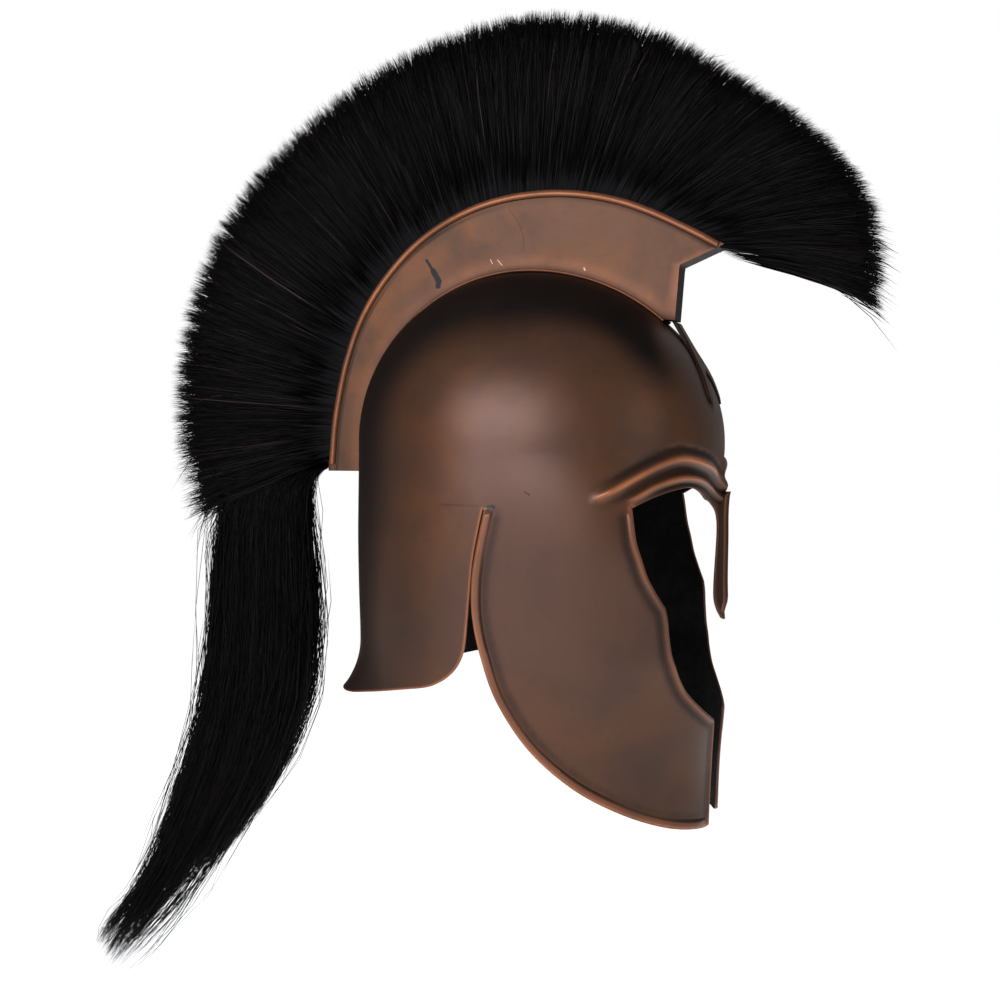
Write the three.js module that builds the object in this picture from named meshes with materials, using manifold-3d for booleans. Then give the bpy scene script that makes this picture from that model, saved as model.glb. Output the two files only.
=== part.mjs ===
// Greek bronze helmet with a fork-braced crest holder, a horsehair brush and a horsehair tail.
// Millimetres, +Z up. The face looks along -Y and the wearer's right is -X.
// The origin is the inside of the crown, where the helmet sits on the head.
// Outlines seen from the side are written as (fwd, z), where fwd is the distance forward, -Y.
import * as THREE from 'three';
import { mergeVertices } from 'three/addons/utils/BufferGeometryUtils.js';
import Module from 'manifold-3d';

const wasm = await Module();
wasm.setup();

// ---------------------------------------------------------------- driving dimensions
const WALL = 1.6;              // bronze sheet
const GAP = 0.3;               // air left between touching pieces
const CENTRE_Z = -105;         // level of the widest section, and centre of the crest arc
const CROWN_Z = WALL;          // top of the outside of the bowl
const DOME = { front: 1.96, back: 2.0, side: 2.1 };   // roundness of the bowl above CENTRE_Z

// Outside of the bowl, neck guard and cheeks: half sizes forward, back and sideways,
// and how square the plan is (2 is an ellipse).
const SECTIONS = [
  { z: -105, front: 121.8, back: 108, half: 104, frontPower: 2.4, backPower: 2.1 },
  { z: -112, front: 121.6, back: 108, half: 104, frontPower: 2.44, backPower: 2.1 },
  { z: -140, front: 117.4, back: 108, half: 104, frontPower: 3.2, backPower: 2.15 },
  { z: -165, front: 117, back: 108, half: 102.8, frontPower: 3.6, backPower: 2.2 },
  { z: -198, front: 117, back: 108, half: 100, frontPower: 3.3, backPower: 2.2 },
  { z: -230, front: 119.5, back: 107.8, half: 96.5, frontPower: 3.05, backPower: 2.2 },
  { z: -240, front: 120.8, back: 109.4, half: 95, frontPower: 2.8, backPower: 2.2 },
  { z: -250, front: 122, back: 113.4, half: 93, frontPower: 2.6, backPower: 2.2 },
  { z: -260, front: 122.8, back: 119.8, half: 91, frontPower: 2.48, backPower: 2.2 },
  { z: -275, front: 122.8, back: 134, half: 88, frontPower: 2.4, backPower: 2.2 },
  { z: -304, front: 120.3, back: 150, half: 83, frontPower: 2.3, backPower: 2.2 },
  { z: -342, front: 119.8, back: 150, half: 77.5, frontPower: 2.2, backPower: 2.2 },
];
const KEEL = { height: 6.5, halfWidth: 24, top: -102, full: -138 };   // ridge down the nose

// Face opening between the brow and the cheeks, from the nose outward and down to the chin.
const FACE_EDGE = [
  [119.2, -144.5], [116.8, -137.6], [114.8, -132], [111, -129.7], [104.5, -130.9], [97.5, -133.4],
  [90.7, -136.6], [83.7, -140.4], [86.2, -158.3], [89.2, -169.7], [92, -180], [96, -189.5],
  [100.3, -198.5], [101.3, -205], [102, -215], [103.2, -226], [105.4, -236.5], [108.7, -248.4],
  [113.2, -257], [117.6, -264.7], [121, -271.5], [120, -287.6], [119, -304], [117.5, -337.8],
];
const BROW_LEVEL = FACE_EDGE[0][1];      // top of the opening beside the nose
// Rear edge of the cheek guard and front edge of the neck guard, both from the slit top down.
const CHEEK_REAR = [
  [0.8, -142.5], [-5.7, -171], [-7.9, -188.5], [-7.6, -206], [-3.8, -226.5], [5, -255], [22, -282.5],
  [45.5, -304.6], [73, -321.2], [99, -332.6], [117, -337.8],
];
const NECK_FRONT = [
  [-0.6, -142.5], [-7, -171], [-9.4, -190], [-13, -218], [-15.6, -228], [-19.2, -234.6],
  [-24, -239.8], [-30.6, -244.4], [-40.2, -248.4], [-58.2, -251.8], [-85, -257], [-108, -261.3],
  [-134, -264],
];
// Half width of the nasal bar at each level.
const NASAL = [
  { z: -126, half: 11 }, { z: -144.5, half: 6.2 }, { z: -158, half: 5.2 }, { z: -176, half: 6.6 },
  { z: -192, half: 8.2 }, { z: -200, half: 8.4 }, { z: -206, half: 6.4 }, { z: -210.5, half: 3.4 },
  { z: -212.6, half: 1 },
];
// Raised band down the nasal bar, and the slanted cut that thins its tip, seen from the side.
const NASAL_BAND = { half: 4.4, top: -139, height: 3, end: -212, tipHalf: 1.8 };
const NASAL_BEVEL = [[128.6, -196], [126.4, -203], [121.5, -214], [135, -214], [135, -196]];
const FLANGE_RADIUS = 2.7;     // rolled rim of the cheek guard
const SINK = 0.2;              // how deep the middle of each ridge lies in the sheet
const RIDGE_RADIUS = 2.2;      // brow ridges
// Upper brow ridge (temple to nose) and the rim that follows the edge of the eye below it.
const BROW = [
  [60.3, -137.8], [68.8, -133.2], [77, -128.8], [86.9, -122.6], [96.6, -117], [106, -113.4],
  [114.8, -115.6], [119.6, -121], [122.4, -131],
];
const EYE_RIM = [
  [80.1, -138.8], [87.7, -133.4], [95, -128.8], [102.1, -125.8], [108.8, -124.4], [115, -126],
  [118, -132], [120.5, -140],
];

// Crest holder: rim radius about (0, CENTRE_Z); 0 deg is forward and 90 deg is up.
const RIM = [
  { deg: 44.1, r: 172 }, { deg: 47, r: 169.8 }, { deg: 53.9, r: 165.8 }, { deg: 60.7, r: 163.4 },
  { deg: 67.6, r: 161.7 }, { deg: 74.4, r: 159.9 }, { deg: 88.2, r: 156.6 }, { deg: 102, r: 153.4 },
  { deg: 119, r: 147.8 }, { deg: 129.6, r: 143.3 }, { deg: 144.3, r: 137.8 },
  { deg: 155.5, r: 133.7 }, { deg: 167.6, r: 131.4 }, { deg: 181.7, r: 132.6 }, { deg: 188, r: 135.1 },
];
const HOLDER = {
  half: 11.4,                  // half of the width across the side plates
  sheet: 1.5,
  bead: 2.5,                   // radius of the bead along each rim
  stripHalf: 14, strip: 1.2, stripStart: 40.5,   // seating strip on the bowl, and its front end
  beadEnd: 186.2,              // the beads stop here
  notch: [96.6, 3],            // inner corner of the notched front
  foot: [94, -30.3],           // lower front corner
  tail: -123.9,                // level of the cut-off back end
};
// Forked brace below the holder: its outer line from the side, and one half of its front view.
const FORK_LINE = [[94.8, -31], [104.2, -47.5], [112.2, -62.2], [116, -72], [119, -82.5]];
const FORK = { strap: 2.6, half: 40, solidBelow: -62.2, inner: 60 };
const FORK_FACE = [
  [0, -61], [9, -66], [14.5, -74], [16, -78.5], [19, -81], [22, -78.5], [22.5, -74], [17.5, -59],
  [10.5, -47], [8.5, -39], [8.5, -31], [0, -31],
];

// Horsehair brush: where each lock of hair ends.
const BRUSH = [
  { deg: 21.6, r: 230 }, { deg: 29, r: 245 }, { deg: 34, r: 255 }, { deg: 42, r: 259 },
  { deg: 58.6, r: 258 }, { deg: 73.3, r: 265 }, { deg: 90, r: 266.4 }, { deg: 102, r: 263 },
  { deg: 123, r: 257 }, { deg: 146.6, r: 256 }, { deg: 171, r: 250 }, { deg: 187, r: 243 },
];
const BRUSH_LOCKS = 27;
const BRUSH_SPLAY = 13;        // half thickness of the brush at its fullest
const LEAN = 25;               // degrees that the frontmost lock droops forward
const DROP = 5;                // degrees that the rearmost lock droops back
// Horsehair tail: its inner (helmet side) and outer edge at stations down its length.
const TAIL = [
  { inFwd: -133, inZ: -121.5, outFwd: -133, outZ: -112 },
  { inFwd: -142, inZ: -127, outFwd: -184, outZ: -121 },
  { inFwd: -145.5, inZ: -146, outFwd: -222, outZ: -147 },
  { inFwd: -141.5, inZ: -205, outFwd: -229.5, outZ: -212 },
  { inFwd: -144.5, inZ: -268, outFwd: -240, outZ: -290 },
  { inFwd: -167.5, inZ: -325, outFwd: -260, outZ: -350 },
  { inFwd: -213, inZ: -390, outFwd: -285, outZ: -411 },
  { inFwd: -257, inZ: -442, outFwd: -306, outZ: -441 },
  { inFwd: -303, inZ: -484, outFwd: -316, outZ: -463 },
];
const TAIL_LOCKS = 9;
const TAIL_DEG = 182.2;        // the tail's head starts here in the holder's channel
const HEAD = { fwd: -122, z: -116.5, end: -130 };   // middle and lowest level of that head

// ---------------------------------------------------------------- small helpers
const rad = THREE.MathUtils.degToRad;
const at = (fwd, x, z) => new THREE.Vector3(x, -fwd, z);

// Smooth curve through the rows of a table: the value of one column at a given key.
function sample(table, key, column, value) {
  const dir = Math.sign(table[table.length - 1][key] - table[0][key]);
  const last = table.length - 2;
  let i = 0;
  while (i < last && dir * (value - table[i + 1][key]) > 0) i++;
  const slope = (j) => {
    const a = table[Math.max(j - 1, 0)];
    const b = table[Math.min(j + 1, last + 1)];
    return (b[column] - a[column]) / (b[key] - a[key]);
  };
  const a = table[i];
  const b = table[i + 1];
  const h = b[key] - a[key];
  const t = THREE.MathUtils.clamp((value - a[key]) / h, 0, 1);
  const t2 = t * t;
  const t3 = t2 * t;
  return (2 * t3 - 3 * t2 + 1) * a[column] + (t3 - 2 * t2 + t) * h * slope(i)
    + (3 * t2 - 2 * t3) * b[column] + (t3 - t2) * h * slope(i + 1);
}

function toManifold(geometry) {
  geometry.deleteAttribute('normal');
  geometry.deleteAttribute('uv');
  const merged = mergeVertices(geometry, 1e-4);
  return new wasm.Manifold(new wasm.Mesh({
    numProp: 3,
    vertProperties: new Float32Array(merged.attributes.position.array),
    triVerts: new Uint32Array(merged.index.array),
  }));
}

// Closed solid through rings of points, all of one length, with a flat or pointed end.
function loft(rings) {
  const n = rings[0].length;
  const points = rings.flat();
  const index = [];
  for (let i = 0; i < rings.length - 1; i++) {
    for (let j = 0; j < n; j++) {
      const a = i * n + j;
      const b = i * n + (j + 1) % n;
      index.push(a, b, b + n, a, b + n, a + n);
    }
  }
  for (const [ring, flip] of [[0, true], [rings.length - 1, false]]) {
    const centre = rings[ring].reduce((s, p) => s.add(p), new THREE.Vector3()).divideScalar(n);
    points.push(centre);
    const c = points.length - 1;
    for (let j = 0; j < n; j++) {
      const a = ring * n + j;
      const b = ring * n + (j + 1) % n;
      index.push(...(flip ? [b, a, c] : [a, b, c]));
    }
  }
  const geometry = new THREE.BufferGeometry().setFromPoints(points);
  geometry.setIndex(index);
  return toManifold(geometry);
}

// Prism of a side outline, from x = -half to x = +half.
function sidePrism(outline, half) {
  const shape = new THREE.Shape(outline.map(([fwd, z]) => new THREE.Vector2(fwd, z)));
  const geometry = new THREE.ExtrudeGeometry(shape, { depth: 2 * half, bevelEnabled: false });
  geometry.translate(0, 0, -half);
  geometry.applyMatrix4(new THREE.Matrix4().makeBasis(
    new THREE.Vector3(0, -1, 0), new THREE.Vector3(0, 0, 1), new THREE.Vector3(-1, 0, 0)));
  return toManifold(geometry);
}

// Prism of a front outline (x, z), reaching from the middle of the helmet out past the nose.
function frontPrism(outline) {
  const shape = new THREE.Shape(outline.map(([x, z]) => new THREE.Vector2(x, z)));
  const geometry = new THREE.ExtrudeGeometry(shape, { depth: 150, bevelEnabled: false });
  geometry.applyMatrix4(new THREE.Matrix4().makeBasis(
    new THREE.Vector3(1, 0, 0), new THREE.Vector3(0, 0, 1), new THREE.Vector3(0, -1, 0)));
  return toManifold(geometry);
}

// Round bar along a line of points.
function bar(points, radius, steps, sides = 8) {
  const ring = new THREE.Shape();
  for (let i = 0; i < sides; i++) {
    const a = (2 * Math.PI * i) / sides;
    ring[i ? 'lineTo' : 'moveTo'](radius * Math.cos(a), radius * Math.sin(a));
  }
  return toManifold(new THREE.ExtrudeGeometry(ring, {
    steps, bevelEnabled: false, extrudePath: new THREE.CatmullRomCurve3(points),
  }));
}

const union = (parts) => parts.reduce((a, b) => a.add(b));
const mirrored = (outline) => [...outline, ...outline.slice(1, -1).reverse().map(([x, z]) => [-x, z])];

function toMesh(name, manifold, look) {
  const { vertProperties, triVerts } = manifold.getMesh();
  const geometry = new THREE.BufferGeometry();
  geometry.setAttribute('position', new THREE.BufferAttribute(vertProperties, 3));
  geometry.setIndex(new THREE.BufferAttribute(triVerts, 1));
  geometry.computeVertexNormals();
  const mesh = new THREE.Mesh(geometry, new THREE.MeshStandardMaterial(look));
  mesh.name = name;
  return mesh;
}

// ---------------------------------------------------------------- the bronze sheet
// Places outside the helmet, which the shapes that cut it out reach to.
const OUT = { side: 130, fwd: 160, back: -190, below: -352 };
const SHEET_END = -346;        // the uncut sheet ends here, below the cheek tips

// Half sizes and squareness of the outside at one level, grown outward by `grow`.
function section(z, grow = 0) {
  const level = THREE.MathUtils.clamp(z, SECTIONS[SECTIONS.length - 1].z, CENTRE_Z);
  const value = (column) => sample(SECTIONS, 'z', column, level);
  const up = THREE.MathUtils.clamp((z - CENTRE_Z) / (CROWN_Z + grow - CENTRE_Z), 0, 1);
  const round = (power) => (1 - up ** power) ** (1 / power);
  return {
    front: (value('front') + grow) * round(DOME.front),
    back: (value('back') + grow) * round(DOME.back),
    half: (value('half') + grow) * round(DOME.side),
    frontPower: value('frontPower'),
    backPower: value('backPower'),
  };
}

// How far the ridge down the nose stands out of the section.
function keel(x, z) {
  const rise = THREE.MathUtils.smoothstep(-z, -KEEL.top, -KEEL.full);
  return KEEL.height * rise * Math.max(1 - Math.abs(x) / KEEL.halfWidth, 0) ** 2;
}

// Point of the outside at a level and a plan angle (0 is forward, 90 deg is the wearer's left).
function skin(angle, z, grow = 0) {
  const s = section(z, grow);
  const c = Math.cos(angle);
  const [length, power] = c >= 0 ? [s.front, s.frontPower] : [s.back, s.backPower];
  const r = ((Math.abs(c) / length) ** power + (Math.abs(Math.sin(angle)) / s.half) ** power)
    ** (-1 / power);
  const x = r * Math.sin(angle);
  return at(r * c + (c > 0 ? keel(x, z) : 0), x, z);
}

// Point of the outside above a side-view position; side is -1 (right) or +1 (left).
function skinBeside(fwd, z, side, grow = 0) {
  const s = section(z, grow);
  const [length, power] = fwd >= 0 ? [s.front, s.frontPower] : [s.back, s.backPower];
  let x = 0;
  for (let i = 0; i < 8; i++) {
    const base = Math.max(Math.abs(fwd) - (fwd > 0 ? keel(x, z) : 0), 0);
    x = s.half * Math.max(1 - (base / length) ** power, 0) ** (1 / power);
  }
  return at(fwd, side * x, z);
}

const HALF_TURN = [0, 2.5, 5.3, 9, 14, 20, 27, 34, 41, 48, 56, 65, 75, 85, 95, 105, 115, 125, 135,
  145, 155, 164, 172];
const TURN = [...HALF_TURN, 180, ...HALF_TURN.slice(1).reverse().map((a) => 360 - a)];
const LOW_LEVELS = [-122, -140, -165, -194, -216, -231, -242, -250, -257, -264, -280, -308];
const DOME_ROWS = 6;

// Solid body bounded by the outside of the helmet grown by `grow`.
function body(grow, bottom = SHEET_END) {
  const levels = [];
  for (let i = 1; i <= DOME_ROWS; i++) {
    levels.push(CENTRE_Z + (CROWN_Z + grow - CENTRE_Z) * Math.cos(rad(i * 90 / DOME_ROWS)));
  }
  levels.push(...LOW_LEVELS.filter((z) => z > bottom), bottom);
  const rings = levels.map((z) => TURN.map((a) => skin(rad(a), z, grow)));
  const top = at(0, 0, CROWN_Z + grow);
  const n = TURN.length;
  const points = [top, ...rings.flat()];
  const index = [];
  for (let j = 0; j < n; j++) {
    const k = (j + 1) % n;
    index.push(0, 1 + j, 1 + k);
    for (let i = 0; i < rings.length - 1; i++) {
      const a = 1 + i * n;
      index.push(a + j, a + n + j, a + n + k, a + j, a + n + k, a + k);
    }
  }
  const end = points.push(at(0, 0, bottom)) - 1;
  const a = 1 + (rings.length - 1) * n;
  for (let j = 0; j < n; j++) index.push(a + j, end, a + (j + 1) % n);
  const geometry = new THREE.BufferGeometry().setFromPoints(points);
  geometry.setIndex(index);
  return toManifold(geometry);
}

// Move a side outline to its right-hand side by `distance`.
function shifted(outline, distance) {
  return outline.map(([fwd, z], i) => {
    const [f0, z0] = outline[Math.max(i - 1, 0)];
    const [f1, z1] = outline[Math.min(i + 1, outline.length - 1)];
    const length = Math.hypot(f1 - f0, z1 - z0);
    return [fwd + (z1 - z0) / length * distance, z - (f1 - f0) / length * distance];
  });
}

function helmetShell() {
  const outside = body(0);
  const nasalHalf = NASAL.map(({ z, half }) => [half, z]);
  const nasal = frontPrism([...nasalHalf, ...nasalHalf.slice().reverse().map(([x, z]) => [-x, z])]);
  const [chinFwd, chinZ] = CHEEK_REAR[CHEEK_REAR.length - 1];
  const face = sidePrism([...FACE_EDGE, [chinFwd, OUT.below], [OUT.fwd, OUT.below],
    [OUT.fwd, BROW_LEVEL]], OUT.side).subtract(nasal);
  const [, napeZ] = NECK_FRONT[NECK_FRONT.length - 1];
  const rear = sidePrism([...CHEEK_REAR, [OUT.side, chinZ], [OUT.side, OUT.below],
    [OUT.back, OUT.below], [OUT.back, napeZ], ...NECK_FRONT.slice().reverse()], OUT.side);

  const ridges = [];
  const flange = shifted(CHEEK_REAR, -FLANGE_RADIUS).slice(0, -1);
  flange[0][1] -= 3;           // the rolled rim starts just below the top of the slit
  for (const side of [-1, 1]) {
    const onSkin = (outline) => outline.map(([fwd, z]) => skinBeside(fwd, z, side, -SINK));
    ridges.push(bar(onSkin(flange), FLANGE_RADIUS, 22, 6));
    ridges.push(bar(onSkin(BROW), RIDGE_RADIUS, 14, 6));
    ridges.push(bar(onSkin(EYE_RIM), RIDGE_RADIUS * 0.8, 12, 6));
  }
  const { half, top, end, tipHalf } = NASAL_BAND;
  const band = [];
  for (let a = 0; a <= 180; a += 30) {
    band.push([half * Math.cos(rad(a)), top + half * Math.sin(rad(a))]);
  }
  band.push([-half, end + 7], [-tipHalf, end], [tipHalf, end], [half, end + 7]);
  const raised = body(NASAL_BAND.height, NASAL_BAND.end - 10).intersect(frontPrism(band));

  return union([outside, ...ridges, raised])
    .subtract(body(-WALL, SHEET_END - 4))
    .subtract(face)
    .subtract(rear)
    .subtract(sidePrism(NASAL_BEVEL, NASAL_BAND.half * 3));
}

// ---------------------------------------------------------------- the crest holder
// Radius of the bowl's middle line about (0, CENTRE_Z).
function bowlRadius(deg) {
  const c = Math.cos(rad(deg));
  const s = Math.sin(rad(deg));
  const { front, back } = SECTIONS[0];
  if (s < 0) return back / Math.abs(c);
  const [length, power] = c > 0 ? [front, DOME.front] : [back, DOME.back];
  return ((Math.abs(c) / length) ** power + (s / (CROWN_Z - CENTRE_Z)) ** power) ** (-1 / power);
}

const polar = (deg, r) => [r * Math.cos(rad(deg)), CENTRE_Z + r * Math.sin(rad(deg))];
const rimRadius = (deg) => sample(RIM, 'deg', 'r', deg);
const steps = (from, to, count) =>
  Array.from({ length: count + 1 }, (_, i) => from + (to - from) * i / count);

// Angle at which an arc of radius(deg) meets a level, searched between two angles.
function angleAtLevel(radius, z, low, high) {
  for (let i = 0; i < 40; i++) {
    const mid = (low + high) / 2;
    if (CENTRE_Z + radius(mid) * Math.sin(rad(mid)) > z) low = mid;
    else high = mid;
  }
  return low;
}

// Side outline of the box: rim at rimRadius + rimGrow, floor at the bowl + lift,
// with the front and the back end drawn in by `inset`.
function boxOutline(rimGrow, lift, inset, rimStart = RIM[0].deg) {
  const rim = (deg) => rimRadius(deg) + rimGrow;
  const floor = (deg) => bowlRadius(deg) + lift;
  const endLevel = HOLDER.tail + inset;
  const rimEnd = angleAtLevel(rim, endLevel, 170, 192);
  const floorEnd = angleAtLevel(floor, endLevel, 170, 195);
  const footLevel = HOLDER.foot[1] + inset;
  const floorStart = 180 - angleAtLevel((deg) => floor(180 - deg), footLevel, 90, 175);
  return [
    ...steps(rimStart, rimEnd, 26).map((deg) => polar(deg, rim(deg))),
    ...steps(floorEnd, floorStart, 20).map((deg) => polar(deg, floor(deg))),
    [HOLDER.foot[0] - inset, footLevel],
    [HOLDER.notch[0] - inset, HOLDER.notch[1] + inset],
  ];
}

// The empty channel between the side plates, grown by `grow` on every wall. It runs out past the rim.
function channel(grow) {
  const inset = HOLDER.sheet - grow;
  const start = RIM[0].deg + 1.5 - grow * 0.3;
  return sidePrism(boxOutline(12, GAP + HOLDER.strip + inset, inset, start),
    HOLDER.half - HOLDER.sheet + grow);
}

function crestHolder(grow = 0) {
  const box = sidePrism(boxOutline(grow, GAP - grow, -grow, RIM[0].deg - grow), HOLDER.half + grow);
  const beads = [-1, 1].map((side) => {
    const line = steps(RIM[0].deg + 0.8 - grow * 0.4, HOLDER.beadEnd + grow * 0.4, 36).map((deg) => {
      const [fwd, z] = polar(deg, rimRadius(deg) - HOLDER.bead);
      return at(fwd, side * (HOLDER.half - 0.8), z);
    });
    return bar(line, HOLDER.bead + grow, 24, 6);
  });
  const lower = (deg) => bowlRadius(deg) + GAP - grow;
  const stripEnd = angleAtLevel(lower, HOLDER.tail - grow, 170, 195);
  const stripArc = steps(HOLDER.stripStart, stripEnd, 22);
  const strip = sidePrism([
    ...stripArc.map((deg) => polar(deg, lower(deg) + HOLDER.strip + 2 * grow)),
    ...stripArc.slice().reverse().map((deg) => polar(deg, lower(deg))),
  ], HOLDER.stripHalf + grow);
  return union([box, ...beads, strip]).subtract(channel(-grow));
}

function frontFork() {
  const strap = sidePrism([...FORK_LINE, ...shifted(FORK_LINE, FORK.strap).reverse()], FORK.half);
  const low = FORK_LINE.filter(([, z]) => z <= FORK.solidBelow);
  const [, end] = low[low.length - 1];
  const prongs = sidePrism([...low, [FORK.inner, end],
    [FORK.inner, FORK.solidBelow]], FORK.half);
  return strap.add(prongs)
    .intersect(frontPrism(mirrored(FORK_FACE)))
    .subtract(body(GAP, KEEL.full));
}

// ---------------------------------------------------------------- the horsehair
// Tapering lock of hair: rings across a line of stations, each with a centre point and
// half sizes sideways (wide) and in the plane of the crest (deep).
function lock(stations, sides = 6) {
  return loft(stations.map(({ point, wide, deep }, i) => {
    const before = stations[Math.max(i - 1, 0)].point;
    const after = stations[Math.min(i + 1, stations.length - 1)].point;
    const along = after.clone().sub(before).normalize();
    const sideways = new THREE.Vector3(1, 0, 0);
    const across = sideways.clone().cross(along).normalize();
    return Array.from({ length: sides }, (_, j) => {
      const a = (2 * Math.PI * j) / sides;
      return point.clone()
        .addScaledVector(across, deep * Math.cos(a))
        .addScaledVector(sideways, wide * Math.sin(a));
    });
  }));
}

const wave = (i, rate, phase = 0) => Math.sin(i * rate + phase);

function horsehairTail(grow = 0) {
  const inside = HOLDER.half - HOLDER.sheet - GAP;
  const locks = [];
  for (let k = 0; k < TAIL_LOCKS; k++) {
    const u = k / (TAIL_LOCKS - 1);
    const end = TAIL.length - 1 - (k % 3 === 1 ? 0.5 : 0) - (k === 0 ? 1 : 0);
    const sway = (k % 2 ? 1 : -1) * (5 + 2 * wave(k, 2.1));
    const stations = [{
      point: at(HEAD.fwd, 0, HEAD.z), wide: inside - 0.6 + grow, deep: 4 + grow,
    }];
    for (const s of steps(0, end, 9)) {
      const i = Math.min(Math.floor(s), TAIL.length - 2);
      const t = s - i;
      const mix = (column) => THREE.MathUtils.lerp(TAIL[i][column], TAIL[i + 1][column], t);
      const full = Math.min(s / 2.5, 1);
      const taper = Math.min((end - s) / 3.2, 1) ** 0.8;
      const radius = 4.2 + full * 4.6;
      const inset = s > 1 ? radius * taper : 0;
      const fwd = THREE.MathUtils.lerp(mix('inFwd') - inset, mix('outFwd') + inset, u);
      const z = THREE.MathUtils.lerp(mix('inZ'), mix('outZ'), u);
      stations.push({
        point: at(fwd, sway * full, z),
        wide: Math.max(radius * 1.25 * taper, 1.2) + grow,
        deep: Math.max(radius * taper, 1) + grow,
      });
    }
    locks.push(lock(stations));
  }
  const deg = TAIL_DEG;
  const head = channel(-GAP).intersect(sidePrism([
    polar(deg, 100), polar(deg, rimRadius(deg) + 1), [-139, HEAD.end], [-100, HEAD.end],
  ], 20));
  return union([head, ...locks]).subtract(crestHolder(GAP));
}

function horsehairBrush() {
  const inside = HOLDER.half - HOLDER.sheet - GAP;
  const backing = channel(-GAP).intersect(sidePrism([
    ...steps(44, TAIL_DEG - 0.3, 24).map((deg) => polar(deg, rimRadius(deg) + 4)),
    polar(TAIL_DEG - 0.3, 90), [0, CENTRE_Z - 3], [110, -60], [125, -20], [125, 8],
  ], 20));
  const locks = [];
  for (let k = 0; k < BRUSH_LOCKS; k++) {
    const root = THREE.MathUtils.lerp(47.5, 178.5, k / (BRUSH_LOCKS - 1));
    const front = Math.max(92 - root, 0) / 46;
    const lean = LEAN * front ** 2;
    const tip = root - lean + DROP * Math.max((root - 150) / 30, 0) ** 2;
    const fan = (1 + 2 * LEAN * front / 46) ** 0.4;
    const rootR = rimRadius(root) + 4;
    const tipR = sample(BRUSH, 'deg', 'r', tip) - 1.5 + 2 * wave(k, 1.9);
    const side = 3 * wave(k, 2.6, 0.4);
    // Station part way along the lock, t = 0 at the rim and 1 at the tip.
    const part = (t, wide, deep) => {
      const deg = THREE.MathUtils.lerp(root - lean * 0.1, tip, t ** 1.3);
      const [fwd, z] = polar(deg, THREE.MathUtils.lerp(rootR, tipR, t));
      return { point: at(fwd, side * t, z), wide, deep };
    };
    const [fwd, z] = polar(root, rimRadius(root) - 6);
    locks.push(lock([
      { point: at(fwd, 0, z), wide: inside - 0.4, deep: 6 },
      part(0, inside, 8),
      part(0.82, BRUSH_SPLAY, 12.5 * fan),
      part(1, 6, 7 * fan),
    ]));
  }
  return union([backing, ...locks]).subtract(crestHolder(GAP)).subtract(horsehairTail(GAP));
}

// ---------------------------------------------------------------- assembly
const bronze = { color: 0x5f4436, metalness: 0.85, roughness: 0.45 };
const hair = { color: 0x0d0c0e, metalness: 0, roughness: 0.6 };

const group = new THREE.Group();
group.name = 'greek_crested_helmet';
group.add(toMesh('helmet_shell', helmetShell(), bronze));
group.add(toMesh('crest_holder', crestHolder(), bronze));
group.add(toMesh('front_fork', frontFork(), bronze));
group.add(toMesh('horsehair_brush', horsehairBrush(), hair));
group.add(toMesh('horsehair_tail', horsehairTail(), hair));

export default group;
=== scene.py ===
"""Looks of the greek crested helmet: smooth bronze sheet, crest holder, fork and loose horsehair
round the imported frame. Shapes are worked out in millimetres; (fwd, z) is a place seen from the side,
where fwd is the distance forward (-Y)."""

import bpy
import numpy as np
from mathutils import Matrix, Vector, geometry, kdtree


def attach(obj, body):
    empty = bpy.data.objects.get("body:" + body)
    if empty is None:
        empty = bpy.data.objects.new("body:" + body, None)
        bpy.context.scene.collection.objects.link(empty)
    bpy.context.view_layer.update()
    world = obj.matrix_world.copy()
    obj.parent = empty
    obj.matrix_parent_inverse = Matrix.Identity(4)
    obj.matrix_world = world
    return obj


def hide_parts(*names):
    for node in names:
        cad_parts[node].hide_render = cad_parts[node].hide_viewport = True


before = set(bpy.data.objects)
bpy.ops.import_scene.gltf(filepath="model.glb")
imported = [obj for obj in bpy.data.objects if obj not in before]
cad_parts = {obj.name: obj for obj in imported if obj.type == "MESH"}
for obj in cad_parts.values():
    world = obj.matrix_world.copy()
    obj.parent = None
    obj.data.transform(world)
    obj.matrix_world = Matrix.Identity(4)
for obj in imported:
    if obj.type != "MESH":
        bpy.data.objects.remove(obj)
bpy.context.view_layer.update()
rng = np.random.default_rng(11)
MM = 0.001

# ---------------- sizes, as in the part
WALL = 1.6
GAP = 0.3
CENTRE_Z = -105.0
CROWN_Z = WALL
DOME_FRONT, DOME_BACK, DOME_SIDE = 1.96, 2.0, 2.1
# columns: level, front, back, half width, front power, back power; lowest row first
SECTIONS = np.array([
    (-342, 119.8, 150, 77.5, 2.2, 2.2), (-304, 120.3, 150, 83, 2.3, 2.2),
    (-275, 122.8, 134, 88, 2.4, 2.2), (-260, 122.8, 119.8, 91, 2.48, 2.2),
    (-250, 122, 113.4, 93, 2.6, 2.2), (-240, 120.8, 109.4, 95, 2.8, 2.2),
    (-230, 119.5, 107.8, 96.5, 3.05, 2.2), (-198, 117, 108, 100, 3.3, 2.2),
    (-165, 117, 108, 102.8, 3.6, 2.2), (-140, 117.4, 108, 104, 3.2, 2.15),
    (-112, 121.6, 108, 104, 2.44, 2.1), (-105, 121.8, 108, 104, 2.4, 2.1)])
KEEL_HEIGHT, KEEL_HALF, KEEL_TOP, KEEL_FULL = 6.5, 24.0, -102.0, -138.0
EYE_TOP = [(116.8, -137.6), (114.8, -132), (111, -129.7), (104.5, -130.9), (97.5, -133.4),
           (90.7, -136.6), (83.7, -140.4)]
EYE_REAR = [(83.7, -140.4), (86.2, -158.3), (89.2, -169.7), (92, -180), (96, -189.5), (100.3, -198.5)]
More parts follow.
